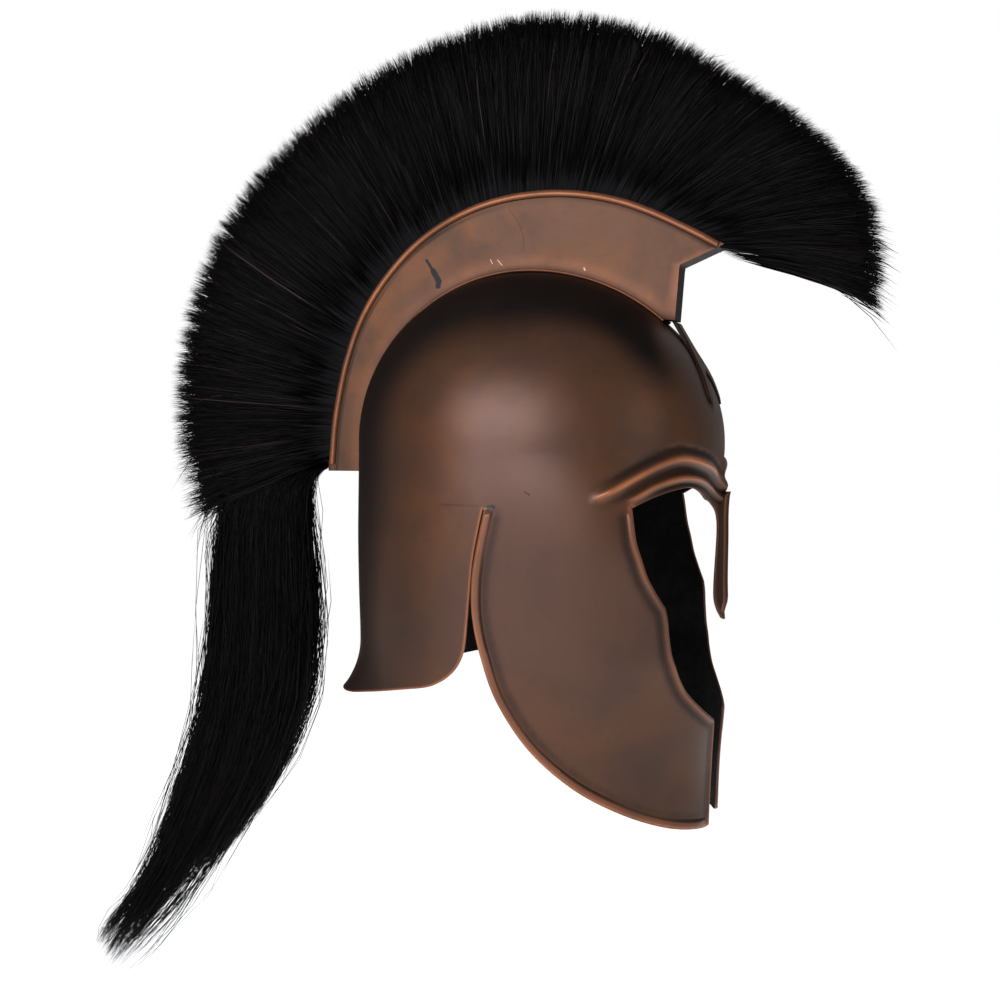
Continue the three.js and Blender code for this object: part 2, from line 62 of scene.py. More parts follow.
CHEEK_FRONT = [(100.3, -198.5), (101.3, -205), (102, -215), (103.2, -226), (105.4, -236.5),
               (108.7, -248.4), (113.2, -257), (117.6, -264.7), (121, -271.5)]
CHIN_FRONT = [(121, -271.5), (120, -287.6), (119, -304), (117.9, -335.5)]
CHEEK_REAR = [(0.8, -142.5), (-5.7, -171), (-7.9, -188.5), (-7.6, -206), (-3.8, -226.5), (5, -255),
              (22, -282.5), (45.5, -304.6), (73, -321.2), (99, -332.6), (115.5, -337.4)]
NECK_FRONT = [(-0.6, -142.5), (-7, -171), (-9.4, -190), (-13, -218), (-15.6, -228), (-19.2, -234.6),
              (-24, -239.8), (-30.6, -244.4), (-40.2, -248.4), (-58.2, -251.8), (-85, -257), (-108, -261.3)]
NASAL = [(0, -213), (1.6, -212.4), (3.4, -210.5), (6.4, -206), (8.4, -200), (8.2, -192), (6.6, -176),
         (5.2, -158), (6.0, -150), (9, -145), (14.5, -141.5), (21, -139.3)]
BROW = [(60.3, -137.8), (68.8, -133.2), (77, -128.8), (86.9, -122.6), (96.6, -117), (106, -113.4),
        (114.8, -115.6), (119.6, -121), (122.4, -131)]
EYE_RIM = [(80.1, -138.8), (87.7, -133.4), (95, -128.8), (102.1, -125.8), (108.8, -124.4), (115, -126),
           (118, -132), (120.5, -140)]
BAND_HALF, BAND_TOP, BAND_HEIGHT, BAND_END = 4.4, -139.0, 3.0, -212.0
FLANGE = 2.7
RIM = np.array([(44.1, 172), (47, 169.8), (53.9, 165.8), (60.7, 163.4), (67.6, 161.7), (74.4, 159.9),
                (88.2, 156.6), (102, 153.4), (119, 147.8), (129.6, 143.3), (144.3, 137.8),
                (155.5, 133.7), (167.6, 131.4), (181.7, 132.6), (188, 135.1)])
HALF, SHEET, BEAD = 11.4, 1.5, 2.5
STRIP = 1.2
RIM_START, RIM_LAST = RIM[0, 0], RIM[-1, 0]
NOTCH, FOOT, TAIL_Z = (96.6, 3.0), (94.0, -30.3), -123.9
FORK_LINE = [(94.8, -31), (104.2, -47.5), (112.2, -62.2), (116, -72), (119, -82.5)]
FORK_FACE = [(8.5, -31), (8.5, -39), (10.5, -47), (17.5, -59), (22.5, -74), (22, -78.5), (19, -81),
             (16, -78.5), (14.5, -74), (9, -66), (0, -61)]
BRUSH = np.array([(21.6, 230), (29, 245), (34, 255), (42, 259), (58.6, 258), (73.3, 265), (90, 266.4),
                  (102, 263), (123, 257), (146.6, 256), (171, 250), (187, 243)])
# columns: station, then the inner and the outer edge of the tail as (fwd, z)
TAIL = np.array([(0, -133, -121.5, -133, -112), (1, -142, -127, -184, -121),
                 (2, -145.5, -146, -222, -147), (3, -141.5, -205, -229.5, -212),
                 (4, -144.5, -268, -240, -290), (5, -167.5, -325, -260, -350),
                 (6, -213, -390, -285, -411), (7, -257, -442, -306, -441), (8, -303, -484, -316, -463)])


# ---------------- curves and surface
def smooth(xs, ys, v):
    """Smooth curve through (xs, ys), xs rising, held at its ends."""
    xs, ys, v = (np.asarray(q, float) for q in (xs, ys, v))
    lo, hi = np.maximum(np.arange(len(xs)) - 1, 0), np.minimum(np.arange(len(xs)) + 1, len(xs) - 1)
    slope = (ys[hi] - ys[lo]) / (xs[hi] - xs[lo])
    i = np.clip(np.searchsorted(xs, v) - 1, 0, len(xs) - 2)
    h = xs[i + 1] - xs[i]
    t = np.clip((v - xs[i]) / h, 0, 1)
    return ((2 * t**3 - 3 * t**2 + 1) * ys[i] + (t**3 - 2 * t**2 + t) * h * slope[i]
            + (3 * t**2 - 2 * t**3) * ys[i + 1] + (t**3 - t**2) * h * slope[i + 1])


def step(lo, hi, v):
    """0 up to lo, 1 from hi on, with a smooth rise between; lo may be the larger."""
    t = np.clip((np.asarray(v, float) - lo) / (hi - lo), 0, 1)
    return t * t * (3 - 2 * t)


def near(d, centre, width):
    """1 where d is centre, fading over width on both sides."""
    return np.exp(-((d - centre) / width) ** 2)


def unit(v):
    return v / (np.linalg.norm(v, axis=-1, keepdims=True) + 1e-12)


def lengths_along(line):
    return np.concatenate([[0], np.cumsum(np.linalg.norm(np.diff(line, axis=0), axis=1))])


def section(z, grow=0.0):
    """Front, back, half width and two powers of the sheet's plan section at levels z."""
    level = np.clip(z, SECTIONS[0, 0], CENTRE_Z)
    front, back, half, fp, bp = (smooth(SECTIONS[:, 0], SECTIONS[:, k], level) for k in range(1, 6))
    up = np.clip((z - CENTRE_Z) / (CROWN_Z + grow - CENTRE_Z), 0, 1 - 1e-9)
    shrink = [(1 - up**p) ** (1 / p) for p in (DOME_FRONT, DOME_BACK, DOME_SIDE)]
    return (front + grow) * shrink[0], (back + grow) * shrink[1], (half + grow) * shrink[2], fp, bp


def keel(x, z):
    """How far the ridge down the middle of the front stands forward."""
    return KEEL_HEIGHT * step(-KEEL_TOP, -KEEL_FULL, -np.asarray(z)) * np.maximum(
        1 - np.abs(x) / KEEL_HALF, 0) ** 2


def oval_radius(c, s, length, half, power):
    """Radius of a superellipse in the direction (c, s)."""
    return ((np.abs(c) / length) ** power + (np.abs(s) / half) ** power) ** (-1 / power)


def skin(a, z, grow=0.0):
    """Points of the plain sheet's outside at plan angles a (0 is forward) and levels z."""
    front, back, half, fp, bp = section(z, grow)
    c, s = np.cos(a), np.sin(a)
    length, power = np.where(c >= 0, front, back), np.where(c >= 0, fp, bp)
    r = oval_radius(c, s, length, half, power)
    x = r * s
    return np.stack([x, -(r * c + np.where(c > 0, keel(x, z), 0)), z + 0 * x], -1)


def beside(fwd, z):
    """Plan angle at which the sheet stands at a place seen from the side."""
    front, back, half, fp, bp = section(z)
    length, power = np.where(fwd >= 0, front, back), np.where(fwd >= 0, fp, bp)
    x = 0 * z
    for _ in range(12):
        base = np.maximum(np.abs(fwd) - np.where(fwd > 0, keel(x, z), 0), 0)
        x = half * np.maximum(1 - (base / length) ** power, 0) ** (1 / power)
    return np.arctan2(x, np.sign(fwd) * base)


def at_width(x, z):
    """Plan angle at which the front of the sheet is x wide of the middle."""
    front, _, half, fp, _ = section(z)
    return np.arctan2(x, front * (1 - (x / half) ** fp) ** (1 / fp))


def resampled(points, pitch):
    """Catmull-Rom curve through points, at an even pitch."""
    p = np.asarray(points, float)
    q = np.concatenate([2 * p[:1] - p[1:2], p, 2 * p[-1:] - p[-2:-1]])
    out = []
    for i in range(1, len(q) - 2):
        t = np.linspace(0, 1, 24, endpoint=False)[:, None]
        out.append(0.5 * (2 * q[i] + (q[i + 1] - q[i - 1]) * t
                          + (2 * q[i - 1] - 5 * q[i] + 4 * q[i + 1] - q[i + 2]) * t**2
                          + (3 * q[i] - q[i - 1] - 3 * q[i + 1] + q[i + 2]) * t**3))
    fine = np.concatenate(out + [q[-2:-1]])
    length = lengths_along(fine)
    n = max(int(round(length[-1] / pitch)), 2)
    even = np.linspace(0, length[-1], n + 1)
    return np.stack([np.interp(even, length, fine[:, k]) for k in range(fine.shape[1])], 1)


def distance(p, line):
    """Distance of points p to a polyline, and how far along it (0 to 1) the nearest place is."""
    a, d = line[:-1], np.diff(line, axis=0)
    dd = np.maximum((d * d).sum(1), 1e-12)
    best, where = np.full(len(p), 1e9), np.zeros(len(p))
    for lo in range(0, len(p), 4000):
        q = p[lo:lo + 4000, None] - a[None]
        t = np.clip((q * d).sum(-1) / dd, 0, 1)
        gap = np.linalg.norm(q - t[..., None] * d, axis=-1)
        i = gap.argmin(1)
        rows = np.arange(len(i))
        best[lo:lo + 4000] = gap[rows, i]
        where[lo:lo + 4000] = (i + t[rows, i]) / len(a)
    return best, where


# the sheet is unrolled by its length round the section at the level of the cheeks
CHEEK_LEVEL = -180.0
ANGLES = np.linspace(0, np.pi, 2001)
LENGTHS = lengths_along(skin(ANGLES, np.full_like(ANGLES, CHEEK_LEVEL)))
HALF_GIRTH = LENGTHS[-1]


def unroll(a):
    return np.interp(a, ANGLES, LENGTHS)


def roll(s):
    return np.interp(s, LENGTHS, ANGLES)


def flat(outline):
    """(s, z) of an outline given as (fwd, z)."""
    f, z = np.array(outline, float).T
    return np.stack([unroll(beside(f, z)), z], 1)


def on_skin(outline):
    f, z = np.array(outline, float).T
    return resampled(skin(beside(f, z), z), 1.0)


# ---------------- mesh building
def add_mesh(name, verts, faces, material, attributes, normals=None, lining=None):
    """Object from arrays in millimetres; each array in faces has one number of corners a face."""
    mesh = bpy.data.meshes.new(name)
    sizes = np.concatenate([np.full(len(f), f.shape[1]) for f in faces])
    loops = np.concatenate([f.ravel() for f in faces])
    mesh.vertices.add(len(verts))
    mesh.vertices.foreach_set("co", (np.asarray(verts) * MM).astype(np.float32).ravel())
    mesh.loops.add(len(loops))
    mesh.loops.foreach_set("vertex_index", loops.astype(np.int32))
    mesh.polygons.add(len(sizes))
    mesh.polygons.foreach_set("loop_start", np.concatenate([[0], np.cumsum(sizes)[:-1]]).astype(np.int32))
    mesh.update(calc_edges=True)
    mesh.polygons.foreach_set("use_smooth", np.ones(len(sizes), bool))
    for key, values in attributes.items():
        layer = mesh.attributes.new(key, "FLOAT", "POINT")
        layer.data.foreach_set("value", np.asarray(values, np.float32))
    for finish in (material, lining):
        if finish:
            mesh.materials.append(finish)
    if normals is not None:
        mesh.normals_split_custom_set_from_vertices([tuple(n) for n in normals])
    obj = bpy.data.objects.new(name, mesh)
    bpy.context.scene.collection.objects.link(obj)
    return obj


def quads_of(grid):
    """Quads between neighbours in a 2-D grid of vertex indices."""
    return np.stack([grid[:-1, :-1], grid[:-1, 1:], grid[1:, 1:], grid[1:, :-1]], -1).reshape(-1, 4)


def grid_faces(rows, cols, closed=False, flip=False):
    grid = np.arange(rows * cols).reshape(rows, cols)
    quads = quads_of(np.concatenate([grid, grid[:, :1]], 1) if closed else grid)
    return quads[:, ::-1] if flip else quads


def from_side(x, places):
    """Points (x, y, z) of places (fwd, z) seen from the side."""
    return np.stack([np.broadcast_to(x, places.shape[:-1]), -places[..., 0], places[..., 1]], -1)


class Pile:
    """Collects parts of one mesh. Attributes that a part doesn't give are 0 there."""

    def __init__(self):
        self.verts, self.faces, self.normals, self.attributes, self.count = [], [], [], {}, 0

    def add(self, verts, faces, normals=None, **attributes):
        self.verts.append(verts)
        self.faces += [f + self.count for f in (faces if isinstance(faces, list) else [faces])]
        self.normals.append(np.zeros_like(verts) if normals is None else normals)
        for key, v in attributes.items():
            self.attributes.setdefault(key, []).append((self.count, np.broadcast_to(v, len(verts))))
        self.count += len(verts)

    def fan(self, ring, centre, flip, closed=True, **attributes):
        """Triangles from a ring of points to its centre."""
        n = len(ring)
        k = np.arange(n if closed else n - 1)
        faces = np.stack([k, (k + 1) % n, np.full(len(k), n)], 1)
        self.add(np.concatenate([ring, [centre]]), faces[:, ::-1] if flip else faces, **attributes)

    def joined(self):
        """All points, normals and attributes."""
        attributes = {key: np.zeros(self.count) for key in self.attributes}
        for key, parts in self.attributes.items():
            for start, v in parts:
                attributes[key][start:start + len(v)] = v
        return np.concatenate(self.verts), np.concatenate(self.normals), attributes

    def build(self, name, material):
        verts, _, attributes = self.joined()
        return add_mesh(name, verts, self.faces, material, attributes)


# ---------------- materials
class Nodes:
    """A little help with shader nodes."""

    def __init__(self, name):
        self.material = bpy.data.materials.new(name)
        self.material.use_nodes = True
        self.tree = self.material.node_tree
        self.bsdf = self.tree.nodes["Principled BSDF"]
        self.place = self.new("ShaderNodeTexCoord").outputs["Object"]

    def new(self, kind, **settings):
        node = self.tree.nodes.new(kind)
        for key, value in settings.items():
            setattr(node, key, value)
        return node

    def put(self, socket, value):
        if isinstance(value, bpy.types.NodeSocket):
            self.tree.links.new(value, socket)
        else:
            socket.default_value = value

    def output(self, kind, inputs, out=0, **settings):
        """Output of a new node, with its inputs set to values or linked to sockets."""
        node = self.new(kind, **settings)
        for key, value in inputs.items():
            self.put(node.inputs[key], value)
        return node.outputs[out]

    def maths(self, operation, a, b, clamp=False):
        return self.output("ShaderNodeMath", {0: a, 1: b}, operation=operation, use_clamp=clamp)

    def times(self, a, b):
        return self.maths("MULTIPLY", a, b)

    def vector(self, operation, inputs, out=0):
        return self.output("ShaderNodeVectorMath", inputs, out, operation=operation)

    def noise(self, scale, detail=3.0, rough=0.55, distortion=0.0):
        inputs = {"Vector": self.place, "Scale": scale, "Detail": detail, "Roughness": rough,
                  "Distortion": distortion}
        return self.output("ShaderNodeTexNoise", inputs)

    def span(self, value, lo, hi, out_lo=0.0, out_hi=1.0):
        """out_lo where value is below lo, out_hi above hi, with a smooth change between."""
        inputs = dict(enumerate((value, lo, hi, out_lo, out_hi)))
        return self.output("ShaderNodeMapRange", inputs, interpolation_type="SMOOTHSTEP")

    def mix(self, share, a, b):
        return self.output("ShaderNodeMix", {0: share, 6: a, 7: b}, 2, data_type="RGBA")

    def attribute(self, name):
        return self.new("ShaderNodeAttribute", attribute_name=name).outputs["Fac"]

    def set(self, **values):
        for key, value in values.items():
            self.put(self.bsdf.inputs[key.replace("_", " ")], value)

    def bump(self, height, strength, distance, normal=None):
        inputs = {"Height": height, "Strength": strength, "Distance": distance}
        if normal:
            inputs["Normal"] = normal
        return self.output("ShaderNodeBump", inputs)

    def scratch(self, start, end, core, soft, ragged):
        """1 within core of the line from start to end (x, fwd, z in mm), fading to 0 over soft."""
        a, b = (np.array((x, -fwd, z)) * MM for x, fwd, z in (start, end))
        d = b - a
        from_a = self.vector("SUBTRACT", {0: self.place, 1: tuple(a)})
        along = self.vector("DOT_PRODUCT", {0: from_a, 1: tuple(d)}, "Value")
        along = self.maths("DIVIDE", along, float(d @ d), clamp=True)
        reached = self.vector("SCALE", {0: tuple(d), "Scale": along})
        gap = self.vector("LENGTH", {0: self.vector("SUBTRACT", {0: from_a, 1: reached})}, "Value")
        if ragged:
            stray = self.times(self.maths("SUBTRACT", self.noise(1500), 0.5), ragged * MM)
            gap = self.maths("ADD", gap, stray)
        return self.span(gap, core * MM, (core + soft) * MM, 1.0, 0.0)


def rgb(r, g, b):
    return (r, g, b, 1.0)


# dark colour of patina and of painted shade
PATINA_AND_SHADE = rgb(0.006, 0.0045, 0.0045)
# how strongly each kind of mark covers the bronze, and its colour
MARKS = {"stain": (1.0, rgb(0.003, 0.003, 0.004)), "faint": (0.55, rgb(0.02, 0.012, 0.01)),
         "bright": (0.6, rgb(0.5, 0.36, 0.27))}


def bronze(name, brown, warm, dark, worn_and_highlight, rough, coat, cloud_scale, patch_scale, marks):
    """Antiqued bronze: clouds of brown and warm, dark patches and specks, then patina and painted shade,
    wear and painted highlights, and marks.
    """
    n = Nodes(name)
    cloud = n.noise(cloud_scale, 3, 0.5, distortion=0.7)
    patch = n.noise(patch_scale, 4, 0.5)
    grain = n.noise(900, 2, 0.5)
    speck = n.noise(260, 3, 0.6)
    colour = n.mix(n.span(cloud, 0.38, 0.66), brown, warm)
    colour = n.mix(n.times(n.span(patch, 0.46, 0.72), 0.55), colour, dark)
    colour = n.mix(n.times(n.span(speck, 0.45, 0.8), 0.3), colour, dark)
    # the dark colour covers patina and painted shade; the bright one covers wear and painted highlights
    patina = n.times(n.attribute("patina"), n.span(patch, 0.2, 0.7, 1.0, 0.9))
    colour = n.mix(patina, colour, PATINA_AND_SHADE)
    wear = n.times(n.attribute("wear"), n.span(patch, 0.3, 0.7, 1.0, 0.55))
    colour = n.mix(wear, colour, worn_and_highlight)
    for kind, shape in marks:
        cover, tint = MARKS[kind]
        colour = n.mix(n.times(n.scratch(*shape), cover), colour, tint)
    n.set(Base_Color=colour, Metallic=0.55, Specular_IOR_Level=0.2, Coat_Roughness=0.38)
    n.set(Coat_Weight=n.span(patina, 0.0, 1.0, coat, 0.02))
    roughness = n.maths("ADD", n.times(patch, 0.12), rough - 0.06)
    roughness = n.maths("ADD", roughness, n.times(patina, 0.12))
    n.set(Roughness=n.maths("SUBTRACT", roughness, n.times(wear, 0.08)))
    soft = n.bump(n.noise(30, 2, 0.5), 0.35, 0.0012)
    n.set(Normal=n.bump(grain, 0.12, 0.00025, soft))
    return n.material


def shell_material():
    marks = [("stain", ((-103.8, 6.1, -140.6), (-103.9, 3.6, -140.9), 0.5, 1.6, 1.2)),
             ("stain", ((-103.8, 24.7, -131.6), (-103.8, 27.5, -133.2), 0.15, 0.6, 0.8)),
             ("faint", ((-102.0, -25.7, -139.6), (-103.9, -3.4, -139.9), 0.2, 0.9, 0.5))]
    return bronze("bronze_sheet", brown=rgb(0.066, 0.027, 0.014), warm=rgb(0.094, 0.034, 0.011),
                  dark=rgb(0.038, 0.018, 0.012), worn_and_highlight=rgb(0.50, 0.17, 0.065), rough=0.45, coat=0.34,
                  cloud_scale=10, patch_scale=21, marks=marks)


def holder_material():
    x = -HALF
    line = [(-10.8, 41.5), (-7.6, 36.4), (-4.1, 30.9), (-1.3, 23.3), (-1.3, 15.8)]
    marks = [("stain", ((x, -65.3, 10.6), (x, -60.9, 3.7), 0.6, 0.7, 1.2)),
             ("stain", ((x, -60.9, 3.7), (x, -57.2, -2.8), 1.5, 0.8, 2.0)),
             ("stain", ((x, -57.2, -2.8), (x, -57.8, -5.8), 1.3, 0.8, 1.6)),
             ("bright", ((x, -22.9, 9.9), (x, -21.7, 7.3), 0.1, 0.3, 0.3)),
             ("bright", ((x, -18.3, 9.5), (x, -15.4, 6.2), 0.1, 0.3, 0.3)),
             ("bright", ((x, 37.4, 2.8), (x, 37.9, 1.6), 0.25, 0.4, 0.4))]
    for start, end in zip(line, line[1:]):
        marks.append(("faint", ((x, *start), (x, *end), 0.15, 0.35, 0.0)))
    return bronze("holder_bronze", brown=rgb(0.068, 0.029, 0.013), warm=rgb(0.100, 0.036, 0.010),
                  dark=rgb(0.032, 0.018, 0.013), worn_and_highlight=rgb(0.36, 0.13, 0.058), rough=0.47, coat=0.10,
                  cloud_scale=19, patch_scale=30, marks=marks)


def inside_material():
    n = Nodes("black_lining")
    dusty = n.span(n.noise(60), 0.35, 0.7)
    n.set(Base_Color=n.mix(dusty, rgb(0.0015, 0.0014, 0.0014), rgb(0.004, 0.0035, 0.0035)))
    n.set(Roughness=n.span(n.noise(200), 0.3, 0.7, 0.75, 0.95), Metallic=0.0, Specular_IOR_Level=0.12)
    n.set(Normal=n.bump(n.noise(700), 0.2, 0.0003))
    return n.material


def hair_material():
    n = Nodes("horsehair")
    tone, along = n.attribute("tone"), n.attribute("along")
    colour = n.mix(n.span(tone, 0.5, 0.97), rgb(0.0018, 0.0018, 0.0021), rgb(0.010, 0.008, 0.007))
    colour = n.mix(n.times(n.span(tone, 0.985, 1.0), 0.7), colour, rgb(0.07, 0.05, 0.04))
    colour = n.mix(n.times(n.span(along, 0.75, 1.0), 0.3), colour, rgb(0.016, 0.012, 0.010))
    n.set(Base_Color=colour, Metallic=0.0, Specular_IOR_Level=0.06)
    n.set(Roughness=n.span(tone, 0.0, 1.0, 0.55, 0.4))
    return n.material


def floor_material():
    """White floor that glows a little, so that it is as bright as the surroundings."""
    n = Nodes("studio_floor")
    n.set(Base_Color=n.mix(n.span(n.noise(3), 0.3, 0.7), rgb(0.9, 0.9, 0.9), rgb(0.8865, 0.8865, 0.8865)))
    n.set(Roughness=0.7, Emission_Color=rgb(1, 1, 1), Emission_Strength=0.75)
    return n.material


# ---------------- the bronze sheet
TOP_Z = -92.0
DENSE = 1.0
NECK_LOW = -262.0
FRONT_FWD = 60
# how high and how far to each side the ridges stand
BROW_HEIGHT, BROW_REACH = 2.7, 4.6
EYE_RIM_HEIGHT, EYE_RIM_REACH = 2.1, 3.4
LIP_HEIGHT, LIP_REACH, LIP_INSET = 0.9, 2.4, 1.7


def outline_parts():
    """The edge of one half of the sheet below TOP_Z, unrolled, as smooth parts between its corners."""
    x, z = np.array(NASAL, float).T
    nose = np.stack([unroll(at_width(x, z)), z], 1)
    rear, neck = flat(CHEEK_REAR), flat(NECK_FRONT)
    return [np.concatenate([nose, flat(EYE_TOP)]), flat(EYE_REAR), flat(CHEEK_FRONT), flat(CHIN_FRONT),
            np.concatenate([flat(CHIN_FRONT)[-1:], rear[::-1]]),
            np.concatenate([rear[:1], neck, [[HALF_GIRTH, NECK_LOW - 0.3]]])]


def forward_at(line, z):
    """How far forward a falling line (fwd, z) is at levels z."""
    fwd, level = np.array(line, float).T
    return np.interp(-z, -level, fwd)


class Sheet:
    parts = outline_parts()
    edge = [skin(roll(q[:, 0]), q[:, 1]) for q in (resampled(p, 1.0) for p in parts)]
    brow, rim = on_skin(BROW), on_skin(EYE_RIM)
    # the middle of the slit between cheek guard and neck guard
    slit_z = np.array([-143, -171, -190, -212, -230, -245, NECK_LOW])
    slit_a = (beside(forward_at(CHEEK_REAR, slit_z), slit_z)
              + beside(forward_at(NECK_FRONT, slit_z), slit_z)) / 2


def measures(a, z):
    """Distances of places on the sheet to its edges and ridges, and how far along those they are."""
    p = skin(a, z)
    m = {"fwd": -p[:, 1]}
    m["front"], m["front_at"] = distance(p, np.concatenate(Sheet.edge[1:4]))
    m["rear"], m["rear_at"] = distance(p, Sheet.edge[4])
    m["neck"], _ = distance(p, Sheet.edge[5])
    m["brow"], m["brow_at"] = distance(p, Sheet.brow)
    m["rim"], m["rim_at"] = distance(p, Sheet.rim)
    behind = a > np.interp(-z, -Sheet.slit_z, Sheet.slit_a)
    m["cheek"] = np.where((z < NECK_LOW) | ~behind, 1.0, 0.0)
    up = np.maximum(z - CENTRE_Z, 0)
    m["degrees"] = np.degrees(np.arctan2(up, m["fwd"]))
    m["below_crest"] = bowl_radius(m["degrees"]) - np.hypot(m["fwd"], up)
    to_fork, _ = distance(np.stack([np.abs(p[:, 0]), z], 1), np.array(FORK_FACE, float))
    m["fork"] = np.where(m["fwd"] > FRONT_FWD, to_fork, 99.0)
    return m


def ridge(d, reach):
    return np.where(d < reach, 0.5 + 0.5 * np.cos(np.pi * np.minimum(d / reach, 1)), 0.0)


def relief(a, z):
    """Height of the ridges and rolled rims above the plain sheet."""
    m = measures(a, z)
    u = np.clip((m["rear"] - FLANGE) / FLANGE, -1, 1)
    flange = (FLANGE - 0.7) * np.maximum(1 - u**4, 0) ** 0.5 * m["cheek"] * step(-141.0, -145.5, z)
    flange *= step(0.0, 0.06, m["rear_at"])
    brow = BROW_HEIGHT * ridge(m["brow"], BROW_REACH) * step(0, 0.12, m["brow_at"])
    brow *= 1 - 0.5 * step(0.7, 1.0, m["brow_at"])
    rim = EYE_RIM_HEIGHT * ridge(m["rim"], EYE_RIM_REACH) * step(0, 0.10, m["rim_at"])
    lip = LIP_HEIGHT * ridge(m["front"] - LIP_INSET, LIP_REACH) * step(-139.0, -146.0, z)
    lip *= step(0, 0.02, m["front_at"]) * (m["fwd"] > FRONT_FWD)
    hollow = 0.7 * near(m["brow"], 6.2, 2.4) * step(0.03, 0.2, m["brow_at"])
    return flange + np.maximum(brow, rim) + lip - hollow


def masks(a, z):
    """How rubbed and how dark with patina and painted shade places on the sheet are, 0 to 1."""
    m = measures(a, z)
    brow_at, rim_at = m["brow_at"], m["rim_at"]
    low, front = step(-139.0, -148.0, z), m["fwd"] > FRONT_FWD
    cheek = m["cheek"] * low
    wear = np.maximum.reduce([
        near(m["brow"], 0, 1.6) * step(0, 0.15, brow_at) * step(1.02, 0.75, brow_at),
        0.75 * near(m["rim"], 0, 1.2) * step(0, 0.1, rim_at) * step(1.02, 0.7, rim_at),
        (0.4 * near(m["rear"], 1.0, 0.9) + 0.17 * (m["rear"] < 4.6)) * cheek,
        0.3 * near(m["front"], 1.5, 1.2) * front,
        0.45 * near(m["neck"], 0, 0.7) * (1 - m["cheek"])])
    # painted shade under the crest and down the back edge; the forehead beside the fork is left without it
    reach = 34 + 26 * step(35, 95, m["degrees"])
    shade = step(reach, reach * 0.4, m["below_crest"]) * np.where(m["fwd"] > 0, step(-84, -50, z), 1)
    shade *= 1 - 0.85 * step(0, 10, m["fwd"] + 0.45 * z - 65)
    # patina in the hollows beside the ridges and rims, with painted shade and shadow added
    patina = np.maximum.reduce([
        0.85 * near(m["brow"], 5.4, 2.5) * step(0.0, 0.2, brow_at) * step(1.1, 0.8, brow_at),
        0.9 * near(m["rim"], 3.6, 1.5) * step(0.02, 0.25, rim_at),
        0.55 * near(m["rear"], 8.2, 2.6) * cheek,
        0.65 * near(m["front"], 6.2, 2.8) * front * low,
        (1.0 - 0.25 * step(-90, -240, z)) * shade,
        # painted shadow of the strap on the bowl beside the fork
        0.95 * step(6.5, 2.0, m["fork"]),
        # darker towards the back and bottom of the neck guard
        0.55 * step(-4, -60, m["fwd"]) * step(-120, -190, z),
        # painted shade, darker towards the bottom of the cheek guards
        0.38 * step(-225, -330, z)])
    return np.clip(wear, 0, 1), np.clip(patina * (1 - 0.9 * wear), 0, 1)


def normals_of(place, a, z, turn, drop):
    """Normals of the surface place(a, z), from its points a little to each side."""
    return unit(np.cross(place(a, z - drop) - place(a, z + drop), place(a + turn, z) - place(a - turn, z)))


def plain_normals(a, z, grow=0.0):
    return normals_of(lambda a_, z_: skin(a_, z_, grow), a, z, 2e-3, 0.2)


def outside(a, z):
    """Points of the finished outside."""
    return skin(a, z) + plain_normals(a, z) * relief(a, z)[:, None]


def thinned(groups, spacings):
    """Points of the groups in turn, without those that crowd a point already kept."""
    kept, cells = [], {}
    size = max(spacings)
    around = [(i, j) for i in (-1, 0, 1) for j in (-1, 0, 1)]
    for points, spacing in zip(groups, spacings):
        for x, y in points:
            column, row = int(x // size), int(y // size)
            nearby = (q for i, j in around for q in cells.get((column + i, row + j), ()))
            if spacing and any((q[0] - x) ** 2 + (q[1] - y) ** 2 < spacing * spacing for q in nearby):
                continue
            cells.setdefault((column, row), []).append((x, y))
            kept.append((x, y))
    return kept


def rows_beside(lines, offsets):
    """Copies of 2-D lines, moved sideways by each offset."""
    rows = []
    for line in lines:
        t = unit(np.gradient(line, axis=0))
        rows += [line + np.stack([-t[:, 1], t[:, 0]], 1) * offset for offset in offsets]
    return np.concatenate(rows)


def inside_loop(points, loop):
    """Which 2-D points lie inside a closed loop."""
    x, y = points[:, 0][:, None], points[:, 1][:, None]
    x0, y0 = loop[:, 0], loop[:, 1]
    x1, y1 = np.roll(x0, -1), np.roll(y0, -1)
    crossing = (y0 > y) != (y1 > y)
    with np.errstate(divide="ignore", invalid="ignore"):
        right = x < (x1 - x0) * (y - y0) / (y1 - y0) + x0
    return (crossing & right).sum(1) % 2 == 1


def triangulated(loop, groups, spacings):
    """Triangles that fill a closed 2-D loop, through those points of the groups that don't crowd others.
    Returns points, faces and the indices of the loop's points."""
    n = len(loop)
    points = thinned([loop] + [g[inside_loop(g, loop)] for g in groups], [0] + spacings)
    edges = [(i, (i + 1) % n) for i in range(n)]
    points = [Vector(p) for p in points]
    verts, _, faces, originals, _, _ = geometry.delaunay_2d_cdt(points, edges, [], 1, 1e-5)
    verts = np.array([tuple(v) for v in verts])
    faces = np.array([f for f in faces if len(f) == 3])
    faces = faces[inside_loop(verts[faces].mean(1), loop)]
    corners = verts[faces]
    area = np.cross(corners[:, 1] - corners[:, 0], corners[:, 2] - corners[:, 0])
    faces = np.where(area[:, None] > 0, faces, faces[:, ::-1])
    first = {old: new for new, olds in enumerate(originals) for old in olds}
    return verts, faces, np.array([first[i] for i in range(n)])


SEAM_POINTS, TOP_POINTS = 59, 131
EDGE_ROWS = (0.3, 0.7, 1.2, 1.8, 2.7, 3.5, 4.2, 4.8, 5.2, 5.5, 6.2, 7.5)
RIDGE_ROWS = (0, 0.8, 1.6, 2.4, 3.2, 4.0, 4.8, 6.0)


def both_ways(offsets):
    return [d * side for d in offsets for side in (-1, 1)]


def grid_points(xs, zs):
    return np.stack([g.ravel() for g in np.meshgrid(xs, zs)], 1)


